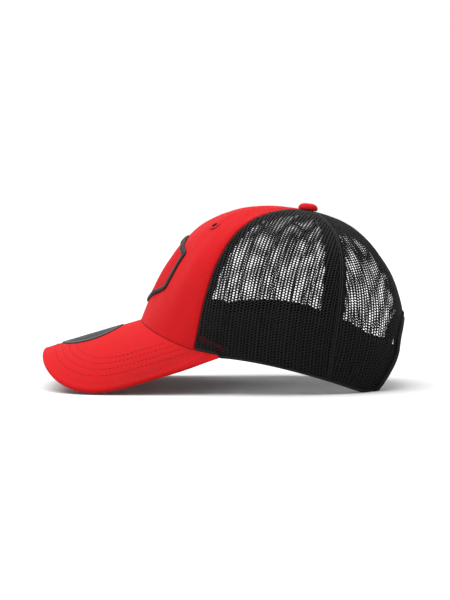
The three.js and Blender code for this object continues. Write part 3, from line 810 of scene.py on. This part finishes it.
class NetPanel:
    """One knitted panel. Its ribs run parallel to the panel's middle, and its rows follow the lower edge."""

    def __init__(self, start, end, arch, pitch):
        self.start = start
        self.end = end
        self.arch = arch
        self.pitch = pitch
        self.middle = (start + end) / 2
        self.heights = np.linspace(0, PANEL_TOP, 500)
        self.lengths = run_along(plain_crown(self.middle, self.heights))

    def crown(self, sideways, upwards):
        """Panel angle and height of a place on the cloth. The knit drifts a little from rib to rib."""
        drift = 0.16 * np.sin(sideways * 0.93 + self.start * 3) + 0.2 * np.sin(sideways * 0.31 + self.start)
        slip = 0.3 * np.sin(sideways * 0.57 + self.end * 5) + 0.25 * np.sin(sideways * 0.21 + upwards * 0.1)
        sideways = sideways + drift
        upwards = upwards + slip
        height = np.interp(upwards, self.lengths, self.heights)
        middle = np.full_like(height, self.middle)
        at_middle = stretch(middle, height)
        angle = middle + sideways / at_middle
        for _ in range(2):
            halfway = stretch((middle + angle) / 2, height)
            mean = (at_middle + 4 * halfway + stretch(angle, height)) / 6
            angle = middle + np.clip(sideways / mean, -1.2, 1.2)
        return angle, height

    def room(self, sideways, upwards):
        """Distance inside the panel's edges."""
        angle, height = self.crown(sideways, upwards)
        left = (angle - self.start) * stretch(self.start, height)
        right = (self.end - angle) * stretch(self.end, height)
        room = np.minimum(left, right) - 0.6
        room = np.minimum(room, np.minimum(upwards - 0.5, self.lengths[-1] - upwards))
        if self.arch:
            room = np.minimum(room, opening_room(angle, height) - 0.8)
        return room

    def solid(self):
        """The net: staggered columns of holes, each in a wide hexagon of strands, lens-shaped in section."""
        rows = int(self.lengths[-1] / ROW_PITCH) + 1
        reach = int(60 / self.pitch)
        j, i = np.mgrid[0:rows, -reach:reach]
        centres = np.stack([i * self.pitch, (j + 0.5 * (i % 2)) * ROW_PITCH + 0.8], axis=-1).reshape(-1, 2)
        centres = centres[self.room(centres[:, 0], centres[:, 1]) > 0.7]
        tip = self.pitch * 0.57
        flat_end = self.pitch - tip
        half = ROW_PITCH / 2
        corners = [(tip, 0), (flat_end, half), (-flat_end, half),
                   (-tip, 0), (-flat_end, -half), (flat_end, -half)]
        middles = (corners + np.roll(corners, -1, axis=0)) / 2
        outer = np.stack([corners, middles], axis=1).reshape(-1, 2)
        sides = len(outer)
        direction = unit(outer)
        hole = direction / lengths(direction / np.array(NET_HOLE))[:, None]
        drawn_in = 1 - HOLE_CLOSING * smoothstep(centres[:, 1] / self.lengths[-1], 0.4, 0.85)
        kept = self.clipped(centres, outer)
        ring = centres[:, None] + outer * kept[..., None]
        hole_ring = centres[:, None] + hole * kept[..., None] * drawn_in[:, None, None]
        # Neighbouring hexagons share their points. The small shift keeps points off a rounding limit.
        rounded = np.round(ring.reshape(-1, 2) + 0.0037, 2)
        _, first, index = np.unique(rounded, axis=0, return_index=True, return_inverse=True)
        shared = ring.reshape(-1, 2)[first]
        level_sides = (3, 9)
        lift = np.where(np.isin(first % sides, level_sides), 0.2, 0.0)
        flat = np.concatenate([shared, shared, hole_ring.reshape(-1, 2)])
        inner = np.full(len(centres) * sides, sum(NET_LAYER) / 2)
        depth = np.concatenate([NET_LAYER[0] + lift, NET_LAYER[1] - lift, inner])
        points = crown_inside(*self.crown(flat[:, 0], flat[:, 1]), depth)
        return Solid(points, strands(index.reshape(-1, sides), len(shared)), flat)

    def clipped(self, centres, outer):
        """How much of each ring point's reach stays inside the panel."""
        kept = np.ones((len(centres), len(outer)))
        ring = centres[:, None] + outer
        crossing = self.room(ring[..., 0], ring[..., 1]) < 0
        from_centre = np.broadcast_to(centres[:, None], ring.shape)[crossing]
        reach = np.broadcast_to(outer, ring.shape)[crossing]

        def fits(share):
            place = from_centre + reach * share[:, None]
            return self.room(place[:, 0], place[:, 1]) > 0
        kept[crossing] = farthest(fits, np.zeros(len(reach)), np.ones(len(reach)), 9)
        return kept


def seam_strip(seam, side, low=0.0, rows=120):
    """Net folded double beside a seam, which closes its holes."""
    height = np.linspace(low, PANEL_TOP, rows)[:, None]
    offset = np.array([SEAM_GAP, 0.4, 0.7, 1.0, 1.3, 1.6])
    bulge = np.array([0.75, 0.4, 0.2, 0.15, 0.3, 0.6])
    angle = beside_seam(seam, height, offset * side)
    return crown_shell(angle, height, bulge + 0.5 * seam_pucker(height), FOLD_DEPTH)


def hem_strip(start, end, limit=None):
    """Net folded double along the lower edge."""
    angle = np.linspace(start + 0.004, end - 0.004, 90)[None, :]
    if limit is not None:
        angle = angle[:, opening_room(angle[0], 0.0) > limit]
    rise = np.array([0.0, 0.3, 0.7, 1.1, 1.5, 1.8])[:, None]
    bulge = np.array([0.6, 0.3, 0.15, 0.15, 0.3, 0.6])[:, None]
    return crown_shell(angle, above_edge(angle, rise), bulge, FOLD_DEPTH)


def turned_net(side):
    """Edge of the net turned up inside, between the net and the red seam allowance."""
    start, end = panel_span(side, SEAM + 0.01, math.radians(84))
    angle = np.linspace(start, end, 60)[None, :]
    rise = np.linspace(0, TURNED_NET_HEIGHT, 8)[:, None]
    return crown_shell(angle, above_edge(angle, rise), *TURNED_NET_LAYER)


def add_net_panels():
    above_arch = back_height(ARCH_TOP_Z + 1)
    for name, side in SIDES:
        start, end = panel_span(side, SEAM, 2 * SEAM)
        net = NetPanel(start, end, False, COLUMN_PITCH[name]).solid()
        edges = [hem_strip(start, end), turned_net(side), seam_strip(start, 1), seam_strip(end, -1)]
        add_piece(f"net_side_{name}", joined([net] + edges), black_mesh, [f"side_mesh_{name}"])
        start, end = panel_span(side, 2 * SEAM, math.pi)
        net = NetPanel(start, end, True, COLUMN_PITCH[name]).solid()
        edges = [hem_strip(start, end, limit=1), seam_strip(side * 2 * SEAM, side),
                 seam_strip(side * math.pi, -side, above_arch, 90)]
        add_piece(f"net_rear_{name}", joined([net] + edges), black_mesh, [f"rear_mesh_{name}"])


# ---------- stitches ----------
def stitch_row(path, normals, stitch):
    """One small rounded thread after another along a path. Their ends dip into the cloth."""
    pitch, length, radius = stitch
    run = run_along(path)
    starts = np.arange(0.4 * pitch, run[-1] - length, pitch)
    stations = np.array([0.0, 0.12, 0.32, 0.68, 0.88, 1.0])
    lift = np.array([-0.45, 0.35, 0.85, 0.85, 0.35, -0.45]) * radius
    width = np.array([0.35, 0.85, 1.0, 1.0, 0.85, 0.35]) * radius
    at = starts[:, None] + stations * length
    centre = np.stack([np.interp(at, run, path[:, k]) for k in range(3)], axis=-1)
    up = unit(np.stack([np.interp(at, run, normals[:, k]) for k in range(3)], axis=-1))
    forward = unit(centre[:, -1:] - centre[:, :1])
    sideways = unit(np.cross(up, forward))
    centre = centre + up * lift[None, :, None]
    ring = circle(7, sideways[:, :, None], up[:, :, None])
    sections = centre[:, :, None] + ring * width[None, :, None, None]
    return [loft(section) for section in sections]


def visor_row(margin, depth):
    """Path along the visor at a distance in from its edge, as far back as the crown."""
    turn = np.linspace(-1, 1, 900)
    x, y = visor_outline(turn, margin, SIDE_STEP)
    ring = base_reach(np.arctan2(x, BASE_CENTRE_Y - y))
    outside = np.hypot(x, y - BASE_CENTRE_Y) > ring + 1.6
    x, y = x[outside], y[outside]
    return visor_point(x, y, depth), visor_normal(x)


# ---------- visor ----------
def visor_grid(tuck, columns, rows, depth_at, margin=RIM_RADIUS):
    turn = np.linspace(-1, 1, columns)[None, :]
    v = np.linspace(0, 1, rows)[:, None]
    inner_x, inner_y = visor_inner(turn, tuck)
    outer_x, outer_y = visor_outline(turn, margin)
    x = inner_x + v * (outer_x - inner_x)
    y = inner_y + v * (outer_y - inner_y)
    return visor_point(x, y, depth_at(x, y))


def visor_rim(columns, radius):
    """Rounded edge of the covers, from the top face round to the underside."""
    turn = np.linspace(-1, 1, columns)[None, :]
    around = np.linspace(0, math.pi, 9)[:, None]
    x, y = visor_outline(turn, RIM_RADIUS - radius * np.sin(around))
    return visor_point(x, y, RIM_RADIUS - radius * np.cos(around))


def top_face_depth(x, y):
    """Depth of the top face, with its stitched channels and a faint unevenness."""
    return quilting(x, y) + 0.1 * np.sin(x / 11) * np.sin(y / 9)


def under_face_depth(x, y):
    return VISOR_THICKNESS - 0.6 * quilting(x, y)


def level(depth):
    """Face at one depth all over."""
    def depth_at(x, y):
        return np.full(x.shape, depth)
    return depth_at


def add_visor():
    columns, rows = 321, 96
    top = visor_grid(VISOR_TUCK, columns, rows, top_face_depth)
    inner = visor_grid(VISOR_TUCK, columns, rows, level(COVER_THICKNESS))
    outer_face = np.concatenate([top, visor_rim(columns, RIM_RADIUS)[1:]])
    inner_face = np.concatenate([inner, visor_rim(columns, RIM_RADIUS - COVER_THICKNESS)[1:]])
    add_piece("visor_cover_top", shell(outer_face, inner_face), red_twill, ["visor_top_cover"])
    board_top = COVER_THICKNESS + 0.3
    board_faces = [visor_grid(VISOR_TUCK - 1, 121, 24, level(depth), margin=2.4)
                   for depth in (board_top, board_top + 1.3)]
    add_piece("visor_stiffener", shell(*board_faces), board_plastic, ["visor_board"])
    under_margin = RIM_RADIUS + 0.2
    under_face = visor_grid(VISOR_TUCK, columns, rows, under_face_depth, under_margin)
    inside = visor_grid(VISOR_TUCK, columns, rows, level(VISOR_THICKNESS - 0.9), under_margin)
    add_piece("visor_cover_under", shell(inside, under_face), red_twill, ["visor_under_cover"])
    top_rows = []
    under_rows = []
    for row in STITCH_ROWS:
        path, normals = visor_row(row, QUILT_DEPTH)
        top_rows += stitch_row(path, normals, VISOR_STITCH)
        path, normals = visor_row(row, VISOR_THICKNESS - 0.6 * QUILT_DEPTH)
        under_rows += stitch_row(path, -normals, VISOR_STITCH)
    # These stitches use the darker thread, whose colour is painted shade for the shadows at their ends.
    add_piece("visor_stitching", joined(top_rows), shaded_seam_thread, [])
    add_piece("visor_stitching_under", joined(under_rows), shaded_seam_thread, [])


def add_sticker():
    """Thin film disc with a softened edge, lying on the visor's ridge."""
    sides = 120
    turn = full_turn(sides)
    top = -0.62
    under = -0.3
    outwards = [(r, top) for r in np.linspace(0.6, STICKER_RADIUS - 0.25, 30)]
    edge = [(STICKER_RADIUS, top + 0.12), (STICKER_RADIUS, under)]
    inwards = [(r, under) for r in np.linspace(STICKER_RADIUS - 2, 0.6, 6)]
    radius, depth = np.array(outwards + edge + inwards).T[..., None]
    y = STICKER_Y + radius * np.cos(turn) * math.cos(VISOR_SLOPE)
    solid = loft(visor_point(radius * np.sin(turn), y, depth))
    solid.cloth = np.stack(np.broadcast_arrays(turn * 10, radius), axis=-1).reshape(-1, 2)
    add_piece("sticker_disc", solid, grey_vinyl, ["visor_sticker"])


# ---------- tapes, binding and sweatband inside the crown ----------
def tape(seam, low):
    """Folded tape with a soft crown across it and two sewn grooves."""
    height = np.linspace(low, TAPE_TOP, 90)[:, None]
    u = np.linspace(-0.5, 0.5, 21)
    angle = beside_seam(seam, height, u * TAPE_WIDTH)
    groove = 0.2 * np.exp(-((np.abs(u) - TAPE_STITCH_PLACE) / 0.05) ** 2)
    edge = rolled((0.5 - np.abs(u)) * TAPE_WIDTH, 0.3)
    return crown_shell(angle, height, TAPE_LAYER[0] + 0.4 * edge, TAPE_LAYER[1] + 0.15 - edge - groove)


def tape_stitches(seam, low):
    height = np.linspace(low, TAPE_TOP, 200)
    rows = []
    for place in (-TAPE_STITCH_PLACE, TAPE_STITCH_PLACE):
        angle = beside_seam(seam, height, place * TAPE_WIDTH)
        path = crown_inside(angle, height, TAPE_LAYER[1] + 0.02)
        rows += stitch_row(path, -crown_normal(angle, height), TAPE_STITCH)
    return rows


def add_tape(node, seam, low):
    solid = joined([tape(seam, low)] + tape_stitches(seam, low))
    add_piece(f"sewn_{node}", solid, black_tape, [node])


def add_tapes():
    add_tape("tape_centre_front", 0.0, above_edge(0.0, ALLOWANCE_HEIGHT + 1))
    for name, side in SIDES:
        add_tape(f"tape_front_seam_{name}", side * SEAM, above_edge(SEAM, ALLOWANCE_HEIGHT + 1))
        add_tape(f"tape_rear_seam_{name}", side * 2 * SEAM, 0.004)
    add_tape("tape_centre_back", math.pi, back_height(ARCH_TOP_Z + BINDING_WIDTH + 0.4))


def arch_line(place, margin):
    """X and Z on the rear opening's outline. Place runs from -1 at one leg's foot to 1 at the other's."""
    leg_share = 0.42
    spring_x = ARCH_HALF_WIDTH + margin
    flare = (LEG_GAP_HALF_WIDTH - ARCH_HALF_WIDTH) / ARCH_SPRING_Z
    down = np.clip((np.abs(place) - (1 - leg_share)) / leg_share, 0, 1)
    turn = (1 - np.clip(np.abs(place) / (1 - leg_share), 0, 1)) * math.pi / 2
    reach = superellipse_radius(turn, spring_x, ARCH_TOP_Z + margin - ARCH_SPRING_Z, ARCH_EXPONENT)
    x = reach * np.cos(turn) + flare * ARCH_SPRING_Z * down
    z = ARCH_SPRING_Z * (1 - down) + reach * np.sin(turn)
    return np.sign(place) * x, z


def on_arch(place, margin):
    """Panel angle and height of a place on that outline."""
    return crown_at(*arch_line(place, margin), math.pi, 0.2)


def add_arch_binding():
    """Tape folded over the edge of the rear opening, from outside the mesh to inside it."""
    outside, inside = -0.55, TAPE_LAYER[1]
    width = BINDING_WIDTH + 0.5
    across_tape = [(width, outside + 0.35), (width - 0.5, outside + 0.05)]
    across_tape += [(m, outside - 0.1 * math.sin(m)) for m in np.linspace(width - 1.5, 0.8, 6)]
    fold = np.linspace(-math.pi / 2, math.pi / 2, 9)
    middle = (outside + inside) / 2
    across_tape += [(0.3 - 0.8 * math.cos(a), middle + (inside - middle) * math.sin(a)) for a in fold]
    across_tape += [(m, inside) for m in np.linspace(0.9, BINDING_WIDTH, 5)]
    across_tape += [(BINDING_WIDTH, inside - 0.4), (1.2, inside - 0.45), (1.0, -0.02), (width - 0.6, -0.02)]
    place = np.linspace(-1, 1, 181)
    sections = [crown_inside(*on_arch(place, margin), depth) for margin, depth in across_tape]
    binding = loft(np.stack(sections, axis=1))
    rows = []
    for margin in (1.6, BINDING_WIDTH - 0.6):
        angle, height = on_arch(np.linspace(-0.98, 0.98, 400), margin)
        path = crown_inside(angle, height, outside)
        rows += stitch_row(path, crown_normal(angle, height), BINDING_STITCH)
    add_piece("binding_rear_opening", joined([binding] + rows), black_tape, ["arch_binding"])


def add_seam_allowance():
    angle = np.linspace(math.radians(-76), math.radians(76), 260)[None, :]
    v = np.linspace(0, 1, 10)[:, None]
    ragged = 0.93 + 0.04 * np.sin(angle * 41) + 0.03 * np.sin(angle * 97)
    taper = 1 - 0.3 * smoothstep(np.abs(angle), SEAM, math.radians(76))
    height = v * above_edge(angle, ALLOWANCE_HEIGHT) * ragged * taper
    solid = crown_shell(angle, height, TAPE_LAYER[0], TAPE_LAYER[1] + 0.1 * np.sin(angle * 60) * v)
    # The allowance's darker red is painted shade for the shadow inside the crown.
    add_piece("turned_up_seam", solid, shaded_red_twill, ["visor_seam_allowance"])


def band_end(v):
    """Panel angle at which the sweatband ends beside the rear opening, for each share of its height."""
    def outside_arch(angle):
        return opening_room(angle, v * above_edge(angle, band_height(angle))) > 1
    return farthest(outside_arch, np.full(v.shape, 2 * SEAM), np.full(v.shape, math.pi), 16)


def add_sweatband():
    """Band folded at its top and sewn near its lower edge."""
    v = eased(22, 0.75)[:, None]
    angle = band_end(v) * np.linspace(-1, 1, 521)[None, :]
    height = v * above_edge(angle, band_height(angle))
    fold = rolled((1 - v) * BAND_FRONT, 0.6)
    soft = 0.18 * np.sin(angle * 31) * np.sin(v * math.pi) + 0.12 * np.sin(angle * 57 + 2) * v
    sewn = 0.3 * np.exp(-((v * band_height(angle) - BAND_SEAM) / 1.2) ** 2)
    inner_depth = BAND_LAYER[1] - fold - sewn + np.abs(soft)
    band = crown_shell(angle, height, BAND_LAYER[0] + fold, inner_depth)
    seam_angle = np.linspace(-1, 1, 900) * band_end(np.array([BAND_SEAM / BAND_REAR]))[0]
    seam_height = above_edge(seam_angle, BAND_SEAM)
    path = crown_inside(seam_angle, seam_height, BAND_LAYER[1] - 0.28)
    stitches = stitch_row(path, -crown_normal(seam_angle, seam_height), BAND_STITCH)
    add_piece("band_inside", joined([band] + stitches), black_lining, ["sweatband"])


# ---------- button, eyelets and emblem ----------
def revolve(profile, centre, up, sides, wobble=None):
    """Rings of a profile of radius and height round an axis."""
    right = unit(np.cross(up, [0.0, 1.0, 0.0]))
    ring = circle(sides, right, np.cross(up, right))
    sections = []
    for k, (radius, height) in enumerate(profile):
        reach = radius + (wobble(full_turn(sides), k) if wobble else 0)
        sections.append(centre + height * up + ring * np.reshape(reach, (-1, 1)))
    return loft(np.stack(sections))


def button_pleats(turn, k):
    """Small pleats that fade out over the first rings of the profile."""
    return 0.12 * np.sin(26 * turn) * max(0, 1 - k / 10)


def add_button():
    """Metal blank covered in twill. The cloth is gathered in small pleats under its rim."""
    centre = np.array([0, BUTTON_Y, BUTTON_Z])
    up = unit(np.array([0, 0.6 * TOP_TILT, 1.0]))
    seat = -0.45
    profile = [(BUTTON_RADIUS * 0.5, seat + 0.6)]
    for a in np.linspace(-0.24 * math.pi, 0.5 * math.pi, 26):
        radius = BUTTON_RADIUS * max(0.02, math.cos(a)) ** 0.62
        rise = (BUTTON_HEIGHT - 1.1) * math.sin(a) * (1 if a > 0 else 0.6)
        profile.append((radius, seat + 1.5 + rise))
    solid = revolve(profile, centre, up, 120, button_pleats)
    solid.cloth = (solid.points - centre)[:, :2]
    add_piece("button_covered", solid, red_twill, ["button"])
    top = -TAPE_LAYER[1] - 0.6
    stem = [(0.4, seat + 0.4), (1.4, seat + 0.35), (1.4, top + 0.3), (1.7, top)]
    head = [(6.6, top), (7, top - 0.3), (7, top - 0.7), (6.6, top - 0.9), (3, top - 1.0), (0.4, top - 1.0)]
    add_piece("rivet_under_button", revolve(stem + head, centre, up, 48), plated_steel, ["button_rivet"])


def add_eyelets():
    """Buttonhole ring of thread: a raised torus with a ridge for each stitch."""
    stitches = 36
    steps = stitches * 6
    around = full_turn(14)
    middle = (EYELET_RADIUS + EYELET_HOLE_RADIUS) / 2
    half = (EYELET_RADIUS - EYELET_HOLE_RADIUS) / 2
    ridge = 1 + 0.09 * np.cos(stitches * full_turn(steps))[:, None]
    reach = middle + half * 1.05 * np.cos(around) * (0.9 + 0.1 * ridge)
    lift = 0.1 + 0.75 * np.sin(around) * ridge
    for name, side in SIDES:
        centre, right, away, normal = eyelet_frame(side)
        ring = circle(steps, right, away)[:, None]
        sections = centre + reach[..., None] * ring + lift[..., None] * normal
        add_piece(f"eyelet_thread_{name}", loft(sections, closed=True), red_thread, [f"eyelet_{name}"])


def hexagon(margin):
    """Corners of the plain upright hexagon in X and Z."""
    middle = (EMBLEM_LOW_Z + EMBLEM_HIGH_Z) / 2
    point = (EMBLEM_HIGH_Z - EMBLEM_LOW_Z) / 2 - 1.15 * margin
    side = EMBLEM_HALF_WIDTH - margin
    shoulder = 0.52 * point
    left_half = np.array([(0, -point), (side, -shoulder), (side, shoulder)])
    return np.vstack([left_half, -left_half]) + [0, middle]


def softened_loop(corners, spacing, soften):
    """Closed outline through the corners at an even spacing, with its corners rounded off."""
    loop = np.vstack([corners, corners[:1]])
    run = run_along(loop)
    count = int(run[-1] / spacing)
    at = np.linspace(0, run[-1], count, endpoint=False)
    dense = np.stack([np.interp(at, run, loop[:, k]) for k in (0, 1)], axis=-1)
    width = max(1, int(soften / spacing))
    shifts = [np.roll(dense, k, axis=0) for k in range(-width, width + 1)]
    return np.mean(shifts, axis=0)


def on_front(x, z, lift):
    angle, height = crown_at(x, z, 0.0, 0.4)
    return crown_inside(angle, height, -lift)


def add_emblem():
    """Raised satin-stitch border round a lower stitched field."""
    path = softened_loop(hexagon(EMBLEM_BORDER / 2), 0.5, 1.4)
    ahead = np.roll(path, -1, axis=0) - np.roll(path, 1, axis=0)
    outwards = unit(np.stack([ahead[:, 1], -ahead[:, 0]], axis=-1))
    around = full_turn(18)
    upright = np.sin(around)
    reach = EMBLEM_BORDER / 2 * np.cos(around)
    lift = 0.3 + np.where(upright > 0, 1.45 * np.abs(upright) ** 0.75, 0.25 * upright)
    place = path[:, None] + outwards[:, None] * reach[:, None]
    ridge = 1 + 0.03 * np.cos(np.arange(len(path)) * math.pi)[:, None]
    sections = on_front(place[..., 0], place[..., 1], lift * ridge)
    add_piece("emblem_edge", loft(sections, closed=True), black_thread, ["emblem_border"])
    edge = softened_loop(hexagon(EMBLEM_BORDER + 0.2), 0.9, 1.4)
    middle = edge.mean(axis=0)
    scales = np.linspace(0.02, 1, 34)
    profile = [(s, 0.5 + 0.25 * (1 - s ** 6)) for s in scales] + [(s, 0.2) for s in scales[::-4]]
    scale, lift = np.array(profile).T[..., None]
    place = middle + (edge - middle) * scale[..., None]
    solid = loft(on_front(place[..., 0], place[..., 1], lift))
    solid.cloth = place.reshape(-1, 2)
    add_piece("emblem_field", solid, red_fill, ["emblem_fill"])


# ---------- snap closure ----------
def add_straps():
    """Moulded straps keep their CAD shape, with softened edges."""
    for node, body in (("snap_strap_holes", "hole_strap"), ("snap_strap_pegs", "peg_strap")):
        piece = add_object(f"moulded_{node}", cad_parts[node].data.copy())
        piece.data.materials.clear()
        piece.data.materials.append(black_plastic)
        modify(piece, "WELD", merge_threshold=0.01 * MM)
        modify(piece, "DECIMATE", decimate_type="DISSOLVE", angle_limit=math.radians(2))
        modify(piece, "BEVEL", width=0.22 * MM, segments=3, limit_method="ANGLE",
               angle_limit=math.radians(40), harden_normals=True)
        apply_modifiers(piece)
        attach(piece, body)
        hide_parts(node)


def add_strap_tabs():
    for name, side in SIDES:
        start, end = panel_span(side, math.radians(138), math.radians(151))
        angle = np.linspace(start, end, 30)[None, :]
        rise = np.linspace(STRAP_BOTTOM_Z, STRAP_BOTTOM_Z + STRAP_WIDTH, 20)[:, None]
        from_edge = np.minimum(rise - STRAP_BOTTOM_Z, STRAP_BOTTOM_Z + STRAP_WIDTH - rise)
        inner_depth = TAB_LAYER[1] - rolled(from_edge, 0.5)
        solid = crown_shell(angle, above_edge(angle, rise), TAB_LAYER[0], inner_depth)
        add_piece(f"sewn_strap_end_{name}", solid, black_plastic, [f"snap_strap_tab_{name}"])


# ---------- camera, floor and light ----------
def add_camera():
    """Level with the cap's left side, slightly from above."""
    distance = 1380
    height = 136.35
    target = Vector((0, CENTRING_SHIFT_Y, 64)) * MM
    lens = bpy.data.cameras.new("camera")
    lens.sensor_fit = "VERTICAL"
    lens.sensor_height = 36
    lens.lens = 110.5
    camera = add_object("camera", lens)
    camera.location = Vector((distance, CENTRING_SHIFT_Y, height)) * MM
    camera.rotation_euler = (target - camera.location).to_track_quat("-Z", "Y").to_euler()
    bpy.context.scene.camera = camera


def add_floor():
    size = 6.0
    mesh = bpy.data.meshes.new("floor")
    corners = [(-size, -size, 0), (size, -size, 0), (size, size, 0), (-size, size, 0)]
    mesh.from_pydata(corners, [], [(0, 1, 2, 3)])
    floor = add_object("floor", mesh)
    pale = bpy.data.materials.new("pale_floor")
    pale.use_nodes = True
    surface = pale.node_tree.nodes["Principled BSDF"]
    surface.inputs["Base Color"].default_value = (0.52, 0.52, 0.52, 1)
    surface.inputs["Roughness"].default_value = 0.9
    mesh.materials.append(pale)


def add_key():
    """Broad overhead light, as from a large soft box, a little to the front and left."""
    lamp = bpy.data.lights.new("key", "SUN")
    lamp.energy = 5.0
    lamp.angle = math.radians(65)
    light = add_object("key", lamp)
    light.rotation_euler = Vector((0.08, -0.3, 1)).to_track_quat("Z", "Y").to_euler()


def add_studio():
    world = bpy.data.worlds.new("studio")
    world.use_nodes = True
    background = world.node_tree.nodes["Background"]
    background.inputs["Color"].default_value = (1, 1, 1, 1)
    background.inputs["Strength"].default_value = 1.0
    bpy.context.scene.world = world
    bpy.context.scene.view_settings.view_transform = "Standard"
    add_key()
    add_floor()


add_camera()
add_front_panels()
add_net_panels()
add_tapes()
add_arch_binding()
add_seam_allowance()
add_sweatband()
add_visor()
add_sticker()
add_button()
add_eyelets()
add_emblem()
add_straps()
add_strap_tabs()
add_studio()
